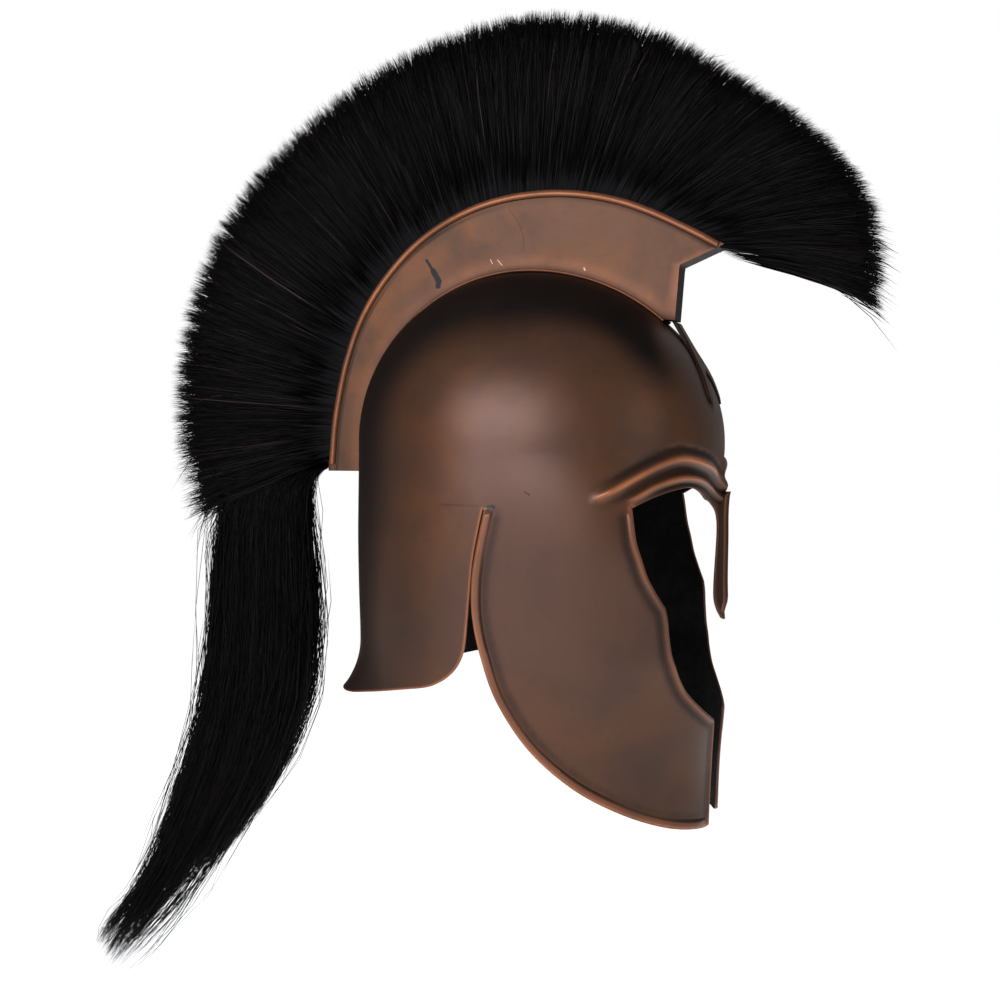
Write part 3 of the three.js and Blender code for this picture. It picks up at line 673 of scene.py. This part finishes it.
def unrolled_mesh(edge_pitch, pitch, rows):
    """Triangles of half of the unrolled sheet, with extra rows of points beside its edges and ridges
    on request. Returns points, faces, and the indices of its free edge and of its top row."""
    parts = [resampled(p, edge_pitch) for p in Sheet.parts]
    free = np.concatenate([q[:-1] for q in parts[:-1]] + [parts[-1]])
    back = np.linspace(free[-1, 1], TOP_Z, SEAM_POINTS + 1)[1:]
    top = np.linspace(HALF_GIRTH, 0, TOP_POINTS)[1:]
    nose = np.linspace(TOP_Z, free[0, 1], SEAM_POINTS + 1)[1:-1]
    sides = ((HALF_GIRTH, back), (top, TOP_Z), (0.0, nose))
    sides = [np.stack(np.broadcast_arrays(x, z), 1) for x, z in sides]
    drop = pitch * 0.87
    mesh = grid_points(np.arange(pitch / 2, HALF_GIRTH, pitch), np.arange(-340, TOP_Z, drop))
    mesh[:, 0] += np.where((np.round(mesh[:, 1] / drop) % 2) > 0, pitch / 2, 0)
    groups, spacings = [mesh], [pitch * 0.72]
    if rows:
        edges = rows_beside([resampled(p, 1.3) for p in Sheet.parts], both_ways(EDGE_ROWS))
        ridges = rows_beside([resampled(flat(line), 1.5) for line in (BROW, EYE_RIM)], both_ways(RIDGE_ROWS))
        groups, spacings = [np.concatenate([edges, ridges])] + groups, [0.42] + spacings
    verts, faces, ring = triangulated(np.concatenate([free] + sides), groups, spacings)
    first = len(free) + SEAM_POINTS - 1
    return verts, faces, ring[:len(free)], ring[first:first + TOP_POINTS]


def mirrored(verts, faces, normals, attributes):
    """The half and its mirror image as one mesh, joined along x = 0."""
    n = len(verts)
    middle = np.abs(verts[:, 0]) < 1e-4
    twin = np.where(middle, np.arange(n), np.arange(n) + n)
    faces = [np.concatenate([f, twin[f][:, ::-1]]) for f in faces]
    verts, normals = (np.concatenate([v, v * (-1, 1, 1)]) for v in (verts, normals))
    normals[:n][middle, 0] = 0
    return verts, faces, unit(normals), {key: np.tile(v, 2) for key, v in attributes.items()}


def facing_out(faces, verts, normals):
    """The faces, turned over where they disagree with their corners' normals."""
    p = verts[faces]
    across = np.cross(p[:, 2] - p[:, 0], p[:, -1] - p[:, 1])
    wrong = (across * normals[faces].mean(1)).sum(1) < 0
    return np.where(wrong[:, None], faces[:, ::-1], faces)


EDGE_ROUND = 0.45


def in_middle(a):
    return (a < 1e-6) | (a > np.pi - 1e-6)


def rounded_edge(pile, a, z, outer, inner, normals, centre, wear):
    """Three rows of points between the outer and the inner line of the free edge. Returns their indices."""
    off = unit(np.cross(normals, np.gradient(skin(a, z), axis=0)))
    if np.mean((off * (outer - centre)).sum(1)) < 0:
        off = -off
    rows, turned = [], []
    for turn in np.radians([45, 90, 135]):
        row = (outer + inner) / 2 + (outer - inner) / 2 * np.cos(turn) + off * EDGE_ROUND * np.sin(turn)
        row[in_middle(a), 0] = 0
        rows.append(row)
        turned.append(normals * np.cos(turn) + off * np.sin(turn))
    start, n = pile.count, len(a)
    pile.add(np.concatenate(rows), [], np.concatenate(turned), wear=np.tile(wear, 3), patina=0.0,
             inner=np.repeat([0, 0, 0.6], n))
    return start + np.arange(3 * n).reshape(3, n)


def half_dome(pile, angles, top, grow, rings):
    """Rings of points from the top row up to the crown, outside or, with a negative grow, inside.
    Returns quads and the triangles round the crown."""
    side = -1.0 if grow < 0 else 1.0
    lift = np.linspace(np.arccos((TOP_Z - CENTRE_Z) / (CROWN_Z - CENTRE_Z)), 0, rings + 1)[1:-1]
    levels = CENTRE_Z + (CROWN_Z + grow - CENTRE_Z) * np.cos(lift)
    a, z = np.tile(angles, len(levels)), np.repeat(levels, len(angles))
    points = skin(a, z, grow)
    points[in_middle(a), 0] = 0
    wear, patina = (0.0, 0.0) if grow < 0 else masks(a, z)
    inner = 1.0 if grow < 0 else 0.0
    grid = pile.count + np.arange(len(points)).reshape(len(levels), -1)
    pile.add(points, [], side * plain_normals(a, z, grow), wear=wear, patina=patina, inner=inner)
    crown = pile.count
    tip, up = np.array([[0.0, 0.0, CROWN_Z + grow]]), np.array([[0.0, 0.0, side]])
    # the crown point, under the holder, is painted dark as shade
    pile.add(tip, [], up, patina=0.8, inner=inner)
    last = grid[-1]
    fan = np.stack([last[:-1], last[1:], np.full(len(last) - 1, crown)], 1)
    return quads_of(np.concatenate([top[None], grid])), fan


def bronze_sheet():
    """Outside and inside of the sheet, its rounded free edge, and its dome."""
    pile = Pile()
    flat_out, faces_out, free_out, top_out = unrolled_mesh(1.1 / DENSE, 2.1 / DENSE, rows=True)
    flat_in, faces_in, free_in, top_in = unrolled_mesh(1.1 / DENSE, 5.0, rows=False)
    a, z = roll(flat_out[:, 0]), flat_out[:, 1]
    a[flat_out[:, 0] < 1e-6] = 0
    points, normals = outside(a, z), normals_of(outside, a, z, 1.5e-3, 0.15)
    points[in_middle(a), 0] = 0
    wear, patina = masks(a, z)
    pile.add(points, [], normals, wear=wear, patina=patina, inner=0.0)
    a_in, z_in = roll(flat_in[:, 0]), flat_in[:, 1]
    inner = skin(a_in, z_in, -WALL)
    inner[in_middle(a_in), 0] = 0
    base = pile.count
    pile.add(inner, [], -plain_normals(a_in, z_in, -WALL), inner=1.0)
    edge = rounded_edge(pile, a[free_out], z[free_out], points[free_out], inner[free_in], normals[free_out],
                        points.mean(0), wear[free_out])
    edge = np.concatenate([free_out[None], edge, base + free_in[None]])
    dome_out, crown_out = half_dome(pile, a[top_out], top_out, 0.0, int(64 * DENSE))
    dome_in, crown_in = half_dome(pile, a_in[top_in], base + top_in, -WALL, 24)
    verts, normals, attributes = pile.joined()
    triangles = np.concatenate([faces_out, base + faces_in, crown_out, crown_in])
    quads = np.concatenate([quads_of(edge.T), dome_out, dome_in])
    verts, faces, normals, attributes = mirrored(verts, [triangles, quads], normals, attributes)
    faces = [facing_out(f, verts, normals) for f in faces]
    obj = add_mesh("helmet_shell_smooth", verts, faces, SHELL, attributes, normals, LINING)
    lined = np.concatenate([attributes["inner"][f].mean(1) > 0.5 for f in faces])
    obj.data.polygons.foreach_set("material_index", lined.astype(np.int32))
    return obj


def nasal_band():
    """Raised strip down the middle of the nasal, with a rounded top and a bevelled tip."""
    arc = BAND_TOP + BAND_HALF * np.cos(np.radians(np.linspace(6, 90, 10)))
    zs = np.concatenate([arc, np.linspace(BAND_TOP, BAND_END, 50)[1:]])
    rows = []
    for z in zs:
        w = np.sqrt(max(BAND_HALF**2 - max(z - BAND_TOP, 0) ** 2, 0.05))
        w *= np.interp(z, [BAND_END, -204], [0.45, 1])
        top = min(BAND_HEIGHT, np.interp(z, [-214, -203, -196], [-2.0, 2.4, 3.6]))
        r = min(0.8, w * 0.5)
        half = [(w / 3, top + 0.25), (w - r, top), (w - r * 0.3, top - r * 0.3), (w, top - r), (w, -0.8)]
        half = np.array(half)
        xs, heights = np.concatenate([half[::-1] * (-1, 1), half]).T
        levels = np.full(len(xs), z)
        base = skin(at_width(np.abs(xs), levels), levels)
        rows.append(np.stack([xs, base[:, 1] - heights, levels], 1))
    wear = np.tile([0, 0, .5, .25, 0, 0, .25, .5, 0, 0], len(rows))
    pile = Pile()
    pile.add(np.concatenate(rows), grid_faces(len(rows), 10), wear=wear, patina=0.88)
    pile.fan(rows[0], rows[0].mean(0), False, closed=False, patina=0.6)
    pile.fan(rows[-1], rows[-1].mean(0), True, closed=False, patina=0.6)
    return pile.build("nasal_band", SHELL)


# ---------------- the crest holder
def bowl_radius(deg):
    """Distance of the bowl's middle line from the centre, at an angle up from straight ahead."""
    c, s = np.cos(np.radians(deg)), np.sin(np.radians(deg))
    front, back = SECTIONS[-1, 1:3]
    length, power = np.where(c > 0, front, back), np.where(c > 0, DOME_FRONT, DOME_BACK)
    r = oval_radius(c, np.maximum(s, 0), length, CROWN_Z - CENTRE_Z, power)
    return np.where(s < 0, back / np.abs(c), r)


def rim_radius(deg):
    return smooth(RIM[:, 0], RIM[:, 1], deg)


def polar(deg, r):
    return np.stack([r * np.cos(np.radians(deg)), CENTRE_Z + r * np.sin(np.radians(deg))], -1)


def level_angle(radius, z, low, high):
    """Angle between low and high at which a falling curve reaches level z."""
    for _ in range(40):
        mid = (low + high) / 2
        if CENTRE_Z + radius(mid) * np.sin(np.radians(mid)) > z:
            low = mid
        else:
            high = mid
    return low


def floor_radius(deg):
    return bowl_radius(deg) + GAP


RIM_END = level_angle(rim_radius, TAIL_Z, 170, 192)
FLOOR_END = level_angle(floor_radius, TAIL_Z, 170, 195)
FLOOR_START = 180 - level_angle(lambda deg: floor_radius(180 - deg), FOOT[1], 90, 175)
PLATE_COLUMNS, PLATE_ROWS = 200, 22
KNEE = 0.52
# columns: x, height over the bowl's gap, wear
STRIP_SIDE = np.array([(5, 1.2, 0), (13, 1.2, 0.4), (13.6, 1.15, 0.7), (13.9, 0.95, 0.7), (14, 0.3, 0.35),
                       (13, -0.6, 0)])


def plate_places():
    """Places (fwd, z) on a side plate: columns from front to cut-off back, each from floor to rim."""
    high = np.linspace(RIM_START, RIM_END, PLATE_COLUMNS)
    low = np.linspace(FLOOR_START, FLOOR_END, PLATE_COLUMNS)
    top, bottom = polar(high, rim_radius(high)), polar(low, floor_radius(low))
    bottom[0], bottom[-1, 1], top[-1, 1] = FOOT, TAIL_Z, TAIL_Z
    u, v = np.linspace(0, 1, PLATE_COLUMNS), np.linspace(0, 1, PLATE_ROWS)
    # the front edge bends at the notch, and that bend fades out along the plate
    bend = np.array(NOTCH) - bottom[0] - (top[0] - bottom[0]) * KNEE
    share = np.maximum(1 - u / 0.16, 0)[:, None] ** 1.5 * np.where(v < KNEE, v / KNEE, (1 - v) / (1 - KNEE))
    return bottom[:, None] + (top - bottom)[:, None] * v[:, None] + share[..., None] * bend


def side_plate(pile, places, sign):
    """One side plate, outside and inside."""
    v = np.linspace(0, 1, PLATE_ROWS)
    height = np.linalg.norm(places[:, -1] - places[:, 0], axis=1)[:, None]
    from_rim, from_floor = (1 - v) * height, v * height
    from_front = np.linalg.norm(places - places[:1], axis=-1)
    wear = np.maximum.reduce([0.3 * near(from_front, 2.0, 1.6) * (from_rim > 9),
                              0.12 * near(from_floor, 6, 4), 0.3 * near(from_front, 0, 0.8)])
    # darker just under the bead, and painted shade along the foot of the plate, where it meets the strip
    patina = np.maximum(0.75 * near(from_rim, 5.8, 0.9), 0.85 * near(from_floor, 0, 1.8))
    x = np.full(PLATE_ROWS, HALF)
    x[[0, -1]] -= 0.35
    shape = PLATE_COLUMNS, PLATE_ROWS
    pile.add(from_side(sign * x, places).reshape(-1, 3), grid_faces(*shape, flip=sign > 0),
             wear=wear.ravel(), patina=patina.ravel())
    pile.add(from_side(sign * (HALF - SHEET), places).reshape(-1, 3), grid_faces(*shape, flip=sign < 0),
             wear=0.0, patina=0.8)


def rim_bead(pile, sign):
    """Rolled bead along the rim of one plate, brighter on its outer face, where hands rub it, and on its
    upper face, where a highlight is painted.
    """
    rows, sides = 260, 16
    deg = np.linspace(44.9, 186.2, rows)
    line = from_side(sign * (HALF - 0.8), polar(deg, rim_radius(deg) - BEAD))
    t = unit(np.gradient(line, axis=0))
    u = unit(np.cross(t, (1.0, 0, 0)))
    v = np.cross(t, u)
    a = np.linspace(0, 2 * np.pi, sides, endpoint=False)[:, None]
    off = u[:, None] * np.cos(a) + v[:, None] * np.sin(a)
    rings = line[:, None] + off * BEAD
    # worn colour on the outer face, painted highlight on the upper face
    bright = 0.75 * np.clip(0.35 + 0.65 * (off[..., 2] * 0.75 + off[..., 0] * sign * 0.55), 0, 1)
    pile.add(rings.reshape(-1, 3), grid_faces(rows, sides, closed=True), wear=bright.ravel(), patina=0.0)
    pile.fan(rings[0], line[0], True, wear=0.3, patina=0.2)
    pile.fan(rings[-1], line[-1], False, wear=0.3, patina=0.2)


def across(pile, line, flip, wear, patina):
    """Strip of sheet from plate to plate along a line of places, rubbed and painted with a highlight at its
    two folds.
    """
    x = np.array([-HALF, 1.8 - HALF, -HALF / 3, HALF / 3, HALF - 1.8, HALF])
    points = from_side(x, np.repeat(line[:, None], len(x), 1))
    pile.add(points.reshape(-1, 3), grid_faces(len(line), len(x), flip=flip),
             wear=np.tile([wear, 0, 0, 0, 0, wear], len(line)), patina=patina)


def seating_strip(pile):
    """Strip with round edges on which the holder stands, sunk a little into the bowl."""
    left = STRIP_SIDE * (-1, 1, 1)
    x, height, wear = np.concatenate([left[-2::-1], STRIP_SIDE, left[-1:]]).T
    deg = np.linspace(40.5, FLOOR_END, 220)[:, None]
    points = from_side(x, polar(deg, floor_radius(deg) + height))
    pile.add(points.reshape(-1, 3), grid_faces(len(deg), len(x), closed=True, flip=True),
             wear=np.tile(wear, len(deg)), patina=0.1)


def crest_holder():
    pile = Pile()
    places = plate_places()
    for sign in (-1, 1):
        side_plate(pile, places, sign)
        rim_bead(pile, sign)
    above_knee = np.linspace(0, 1, PLATE_ROWS) >= KNEE
    across(pile, places[0], False, 0.35, np.repeat(np.where(above_knee, 0.8, 1.0), 6))
    across(pile, places[-1], True, 0.4, 0.3)
    across(pile, places[:, 0], True, 0.0, 0.7)
    deg = np.linspace(45.6, RIM_END - 0.7, 120)
    across(pile, polar(deg, floor_radius(deg) + STRIP + SHEET), False, 0.0, 0.9)
    seating_strip(pile)
    return pile.build("crest_holder_smooth", HOLDER)


def front_fork():
    """Strap with two prongs, standing off the bowl at its top."""
    right = resampled(FORK_FACE, 1.0)
    top = np.stack([np.linspace(-8.5, 8.5, 18)[1:-1], np.full(16, -31.0)], 1)
    loop = np.concatenate([right, right[-2::-1] * (-1, 1), top])
    grid = grid_points(np.arange(-24, 24, 1.1), np.arange(-84, -30, 1.0))
    verts, faces, free = triangulated(loop, [rows_beside([loop], (0.4, 0.9, -0.4, -0.9)), grid], [0.35, 0.8])
    x, z = verts.T
    from_edge, _ = distance(verts, np.concatenate([loop, loop[:1]]))
    fwd, level = np.array(FORK_LINE[::-1]).T
    strap = smooth(level, fwd, z)
    bowl = -skin(at_width(np.abs(x), z), z, GAP)[:, 1]
    front = np.maximum(strap - 0.9 * np.maximum(1 - from_edge / 1.1, 0) ** 2, bowl + 0.7)
    # the strap stands off the bowl above the prongs and is sunk into it below
    behind = np.where(z < -58, bowl - 0.8, np.maximum(strap - 2.9, bowl))
    behind = np.minimum(behind, front - 0.5)
    outer, inner = (np.stack([x, -f, z], 1) for f in (front, behind))
    # a lighter stripe 3 mm in from the edge is a painted highlight standing in for a lit flank; darker
    # towards the edges and on the sides
    wear = np.concatenate([0.05 + 0.35 * near(from_edge, 3.2, 0.9), np.zeros(len(verts))])
    pile = Pile()
    pile.add(np.concatenate([outer, inner]), [faces, faces[:, ::-1] + len(outer)],
             wear=wear, patina=np.tile(0.25 + 0.7 * near(from_edge, 0, 1.7), 2))
    pile.add(np.concatenate([outer[free], inner[free]]), grid_faces(2, len(free), closed=True),
             wear=0.0, patina=0.9)
    return pile.build("front_fork_smooth", HOLDER)


# ---------------- the horsehair
def strands(name, centres, radius, tone):
    """Closed three-sided hairs. centres is (N, K, 3) mm, radius (N,) mm at the thickest."""
    n, k, _ = centres.shape
    t = unit(centres[:, 2:] - centres[:, :-2])
    u = unit(np.cross(t, (1.0, 0.02, 0.03)))
    v = np.cross(t, u)
    turn = rng.uniform(0, 2 * np.pi, (n, 1, 1))
    rings = k - 2
    per = 2 + 3 * rings
    run = np.linspace(0, 1, k)[1:-1]
    thick = radius[:, None, None] * np.interp(run, [0, 0.25, 0.8, 1], [0.8, 1, 0.95, 0.65])[:, None]
    verts = np.zeros((n, per, 3))
    verts[:, 0], verts[:, -1] = centres[:, 0], centres[:, -1]
    for j in range(3):
        a = turn + 2 * np.pi * j / 3
        verts[:, 1 + j:-1:3] = centres[:, 1:-1] + (u * np.cos(a) + v * np.sin(a)) * thick
    j = np.arange(3)
    root = np.stack([np.zeros(3, int), 1 + (j + 1) % 3, 1 + j], 1)
    tip = np.stack([per - 4 + j, per - 4 + (j + 1) % 3, np.full(3, per - 1)], 1)
    shift = (np.arange(n) * per)[:, None, None]
    faces = [(group[None] + shift).reshape(-1, group.shape[1])
             for group in (np.concatenate([root, tip]), 1 + grid_faces(rings, 3, closed=True))]
    along = np.concatenate([[0], np.repeat(run, 3), [1]])
    attributes = {"tone": np.repeat(tone, per), "along": np.tile(along, n)}
    return add_mesh(name, verts.reshape(-1, 3), faces, HAIR, attributes)


# angles at which the brush starts and ends, half its width at root and tip, and the angle of a lock
ROOT_LOW, ROOT_HIGH = 44.6, 184.5
ROOT_HALF, SPLAY = 9.4, 13.0
LOCK = 0.45
TAIL_LOCKS = 17


def brush_points(root, t, x0, turned, moved, reach=1.0):
    """Points t of the way along hairs that leave the rim at angle root, x0 of the way to a face of the
    brush; each is then turned by some degrees and moved sideways by some mm."""
    front = np.maximum(92 - root, 0) / 46
    lean = 23 * front**2
    tip = root - lean + 5 * np.maximum((root - 150) / 30, 0) ** 2
    low = root - lean * 0.04
    deg = low + (tip - low) * t**(1.3 - 0.55 * np.minimum(front, 1))
    end = smooth(BRUSH[:, 0], BRUSH[:, 1], tip) + 2.5 * near(tip, 27, 7)
    start = rim_radius(np.clip(root, RIM_START, RIM_LAST)) - 4
    x = x0 * (ROOT_HALF + (SPLAY - ROOT_HALF) * np.minimum(t * 1.6, 1) ** 0.7)
    return from_side(x + moved, polar(deg + turned, start + (end * reach - start) * t))


def brush_core():
    """Dark body of the brush under its loose hairs, furrowed like combed hair."""
    n, m = 420, 10
    root = np.linspace(ROOT_LOW + 2.4, ROOT_HIGH - 0.5, n)[:, None]
    t = np.linspace(0.0, 0.86, m)[None]
    comb = rng.normal(0, 1, (n, 1))
    comb = (comb + np.roll(comb, 1, 0)) / 2
    pile = Pile()
    faces = []
    for sign in (-1, 1):
        turned, moved = 0.25 * comb * t, sign * 0.5 * comb * (0.3 + t)
        face = brush_points(root, t, 0.86 * sign, turned, moved, 1 + 0.012 * comb)
        pile.add(face.reshape(-1, 3), grid_faces(n, m, flip=sign > 0), tone=0.1, along=0.2)
        faces.append(face)
    left, right = faces
    edges = ((left[:, -1], right[:, -1], 0.6), (left[0], right[0], 0.3), (left[-1], right[-1], 0.3))
    for a, b, along in edges:
        pile.add(np.concatenate([a, b]), grid_faces(2, len(a)), tone=0.1, along=along)
    return pile.build("brush_core", HAIR)


def chance(share, count):
    return rng.uniform(0, 1, count) < share


def shuffled(a, b):
    """A seemingly random number from 0 to 1 that is the same for the same pair of whole numbers."""
    mixed = np.sin(a * 12.9898 + b * 78.233) * 43758.5453
    return mixed - np.floor(mixed)


def brush_hair(name, low, high, count):
    """Loose hairs of the part of the brush that leaves the rim between two angles."""
    root = rng.uniform(low, high, count)
    side = np.where(chance(0.5, count), -1, 1)
    # most hairs lie near the two faces of the brush, the rest fill its edge
    face = chance(0.55, count)
    x0 = side * np.where(face, rng.uniform(0.82, 1.0, count), rng.uniform(0, 0.9, count))
    begin = np.where(face, rng.uniform(0, 0.5, count), rng.uniform(0.45, 0.75, count))
    # neighbours share a lock, which gives them a common tip
    lock = np.round((root + rng.normal(0, 0.12, count)) / LOCK).astype(int)
    tip = shuffled(lock, np.round(x0 * 3).astype(int))
    end = 0.98 + 0.038 * tip - rng.exponential(0.010, count)
    end = np.where(chance(0.2, count), rng.uniform(0.6, 0.97, count), end)
    long = chance(0.015, count)
    end = np.clip(np.where(long, end + rng.uniform(0.01, 0.035, count), end), begin + 0.15, 1.05)
    end = np.where(root > 178, np.maximum(end * rng.uniform(0.86, 1.03, count), begin + 0.15), end)
    t = begin[:, None] + (end - begin)[:, None] * np.linspace(0, 1, 5)[None]
    gather = 0.8 * (lock * LOCK - root)[:, None] * t**3
    free = np.where(chance(0.25, count), 1.0, 0.12)
    bow = (rng.normal(0, 1.6, count) * free)[:, None] * t**2
    # the outer third is frizzy: whole locks turn aside, and single hairs cross them
    turn = ((tip * 7.31) % 1 - 0.5)[:, None] * np.maximum(t - 0.5, 0) ** 1.5 * 7
    free = free * (1 + 2.5 * step(174, ROOT_HIGH, root))
    curl = (rng.normal(0, 1.0, count) * free)[:, None] * np.maximum(t - 0.6, 0) ** 2 * 12
    spread = rng.normal(0, 1.3, count)[:, None] * t**2
    # the rearmost hairs hang over the top of the tail
    droop = 9.0 * step(168, ROOT_HIGH, root)[:, None] * t * (1.15 - t) * rng.uniform(0.0, 1.0, (count, 1))
    centres = brush_points(root[:, None], t, x0[:, None], gather + bow + turn + curl + droop, spread)
    return strands(name, centres, rng.uniform(0.2, 0.36, count), rng.uniform(0, 1, count))


def tail_place(s, u, x):
    """Point at station s down the tail, u from its inner (0) to its outer (1) edge."""
    in_fwd, in_z, out_fwd, out_z = (smooth(TAIL[:, 0], TAIL[:, k], s) for k in range(1, 5))
    fwd = in_fwd + (out_fwd - in_fwd) * u
    z = in_z + (out_z - in_z) * u + 7 * u * near(s, 1.2, 1.1)
    return from_side(x, np.stack([fwd, z], -1))


def tail_core():
    """Dark body of the tail, thinning out above its frayed end."""
    pile = Pile()
    n, m = 60, 20
    s = np.linspace(0.15, 5.1, n)
    a = np.linspace(0, 2 * np.pi, m, endpoint=False)
    grow = step(0, 2.5, s) * 0.7 + 0.3
    slim = 1 - 0.88 * step(2.4, 5.1, s)
    u = 0.5 + 0.34 * np.cos(a)[None] * (slim * 0.6 + 0.4)[:, None]
    x = 11.0 * np.sin(a)[None] * (grow * slim)[:, None]
    p = tail_place(s[:, None], u, x)
    pile.add(p.reshape(-1, 3), grid_faces(n, m, closed=True, flip=True), tone=0.1, along=0.3)
    pile.fan(p[0], p[0].mean(0), True, tone=0.1, along=0.3)
    pile.fan(p[-1], p[-1].mean(0), False, tone=0.1, along=0.3)
    return pile.build("tail_core", HAIR)


def tail_hair(name, count):
    """Loose hairs of the tail. u runs from its inner to its outer edge, s down it from its head."""
    around = rng.uniform(0, 2 * np.pi, count)
    depth = np.sqrt(rng.uniform(0.3, 1.0, count))
    u0 = 0.5 + 0.40 * np.cos(around) * depth
    u0 = np.where(chance(0.25, count), rng.uniform(0.1, 0.9, count), u0)
    x0 = 13.0 * np.sin(around) * depth
    begin = np.where(chance(0.5, count), rng.uniform(0.0, 1.3, count), rng.uniform(1, 5.5, count))
    # the inner hairs end short, in a blunt corner, and some outer ones run on as thin locks
    end = rng.uniform(4.2, 6.1, count)
    end = np.where(chance(0.4, count), 5.6 + rng.normal(0, 0.2, count), end)
    runs_on = chance(0.04 + 0.2 * step(0.3, 0.7, u0), count)
    end = np.where(runs_on, 8.1 - rng.exponential(0.7, count), end)
    end = np.clip(end, begin + 0.8, 8.35)
    s = begin[:, None] + (end - begin)[:, None] * np.linspace(0, 1, 7)[None]
    lock = np.round(u0 * TAIL_LOCKS + rng.normal(0, 0.15, count)) / TAIL_LOCKS
    u = u0[:, None] + (lock - u0)[:, None] * step(3.8, 6.6, s) * 0.92
    # the inner half swings across to follow the outer half below the corner
    swing = ((np.round(u0 * TAIL_LOCKS) * 5.37) % 1 - 0.5)[:, None] * 0.9
    swing = swing + 0.07 * rng.normal(0, 1, (count, 1))
    u = u + swing * step(5.0, 8.2, s) ** 1.5
    phase, pace = rng.uniform(0, 6, (count, 1)), rng.uniform(0.6, 1.4, (count, 1))
    wave = rng.normal(0, 1, (count, 1)) * 0.06 * np.sin(s * pace + phase)
    u = np.clip(u + wave * step(0.5, 3, s), -0.12, 1.12)
    grow = step(0, 2.5, s) * 0.75 + 0.25
    slim = 1 - 0.45 * step(4, 8, s)
    x = x0[:, None] * grow * slim + rng.normal(0, 2.0, (count, 1)) * step(1, 6, s)
    centres = tail_place(s, u, x)
    # some hairs stray from both edges in long loops
    stray = chance(0.10, count)[:, None]
    out = np.where(u0 > 0.5, -1, 1)[:, None] * stray * step(0.5, 2.5, s)
    loops = rng.uniform(2, 13, (count, 1)) * np.sin(s * rng.uniform(0.5, 1.1, (count, 1)) + phase) ** 2
    centres[..., 1] -= out * loops
    centres[..., 1] += rng.normal(0, 0.9, s.shape) * step(2, 7, s)
    return strands(name, centres, rng.uniform(0.16, 0.27, count), rng.uniform(0, 1, count))


# ---------------- putting it together
SHELL, HOLDER, LINING, HAIR = shell_material(), holder_material(), inside_material(), hair_material()

shell = bronze_sheet()
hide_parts("helmet_shell")
band = nasal_band()
holder = crest_holder()
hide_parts("crest_holder")
fork = front_fork()
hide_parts("front_fork")
few = 1
brush = [brush_core()]
brush += [brush_hair("brush_hair_front", ROOT_LOW, 92, 10500 // few),
          brush_hair("brush_hair_top", 90, 137, 9500 // few),
          brush_hair("brush_hair_back", 135, ROOT_HIGH, 9500 // few)]
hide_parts("horsehair_brush")
tail = [tail_core(), tail_hair("tail_hair", 6400 // few)]
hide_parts("horsehair_tail")
for piece in [shell, band, holder, fork] + brush + tail:
    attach(piece, "root")

# ---------------- floor, light and camera
FLOOR_Z = -0.50
bpy.ops.mesh.primitive_circle_add(vertices=96, radius=1.6, fill_type="NGON", location=(0, 0, FLOOR_Z))
floor = bpy.context.object
floor.name = "studio_floor"
floor.data.materials.append(floor_material())


def aimed(name, data, location, target):
    obj = bpy.data.objects.new(name, data)
    obj.location = location
    obj.rotation_euler = (Vector(target) - Vector(location)).to_track_quat("-Z", "Y").to_euler()
    bpy.context.scene.collection.objects.link(obj)
    return obj


def soft_light(name, location, target, size, power, colour):
    data = bpy.data.lights.new(name, "AREA")
    data.shape, data.size, data.energy, data.color = "DISK", size, power, colour
    aimed(name, data, location, target)


def white_surroundings():
    """Light that grows with height, under a backdrop that the camera sees as plain white."""
    world = bpy.data.worlds.new("studio")
    bpy.context.scene.world = world
    world.use_nodes = True
    nodes, links = world.node_tree.nodes, world.node_tree.links
    light, white = nodes["Background"], nodes.new("ShaderNodeBackground")
    for shader in (light, white):
        shader.inputs["Color"].default_value = (1, 1, 1, 1)
    height = nodes.new("ShaderNodeSeparateXYZ")
    links.new(nodes.new("ShaderNodeTexCoord").outputs["Generated"], height.inputs[0])
    fade = nodes.new("ShaderNodeMapRange")
    links.new(height.outputs["Z"], fade.inputs[0])
    for key, value in {"From Min": -0.3, "From Max": 0.9, "To Min": 0.11, "To Max": 0.38}.items():
        fade.inputs[key].default_value = value
    links.new(fade.outputs[0], light.inputs["Strength"])
    seen = nodes.new("ShaderNodeLightPath").outputs["Is Camera Ray"]
    either = nodes.new("ShaderNodeMixShader")
    for socket, value in zip(either.inputs, (seen, light.outputs[0], white.outputs[0])):
        links.new(value, socket)
    links.new(either.outputs[0], nodes["World Output"].inputs["Surface"])


soft_light("key", (-1.5, 0.34, 0.26), (0, 0, -0.12), 0.9, 20, (0.97, 0.97, 1.06))
soft_light("front", (-0.75, -1.6, 0.25), (0, 0, -0.2), 1.2, 4, (1, 1, 1))
white_surroundings()
bpy.context.scene.view_settings.view_transform = "Standard"

camera_data = bpy.data.cameras.new("camera")
camera_data.sensor_width, camera_data.lens = 36, 52.67
camera = aimed("camera", camera_data, (-0.8994, -0.2418, -0.0929), (0, 0.020, -0.142))
bpy.context.scene.camera = camera
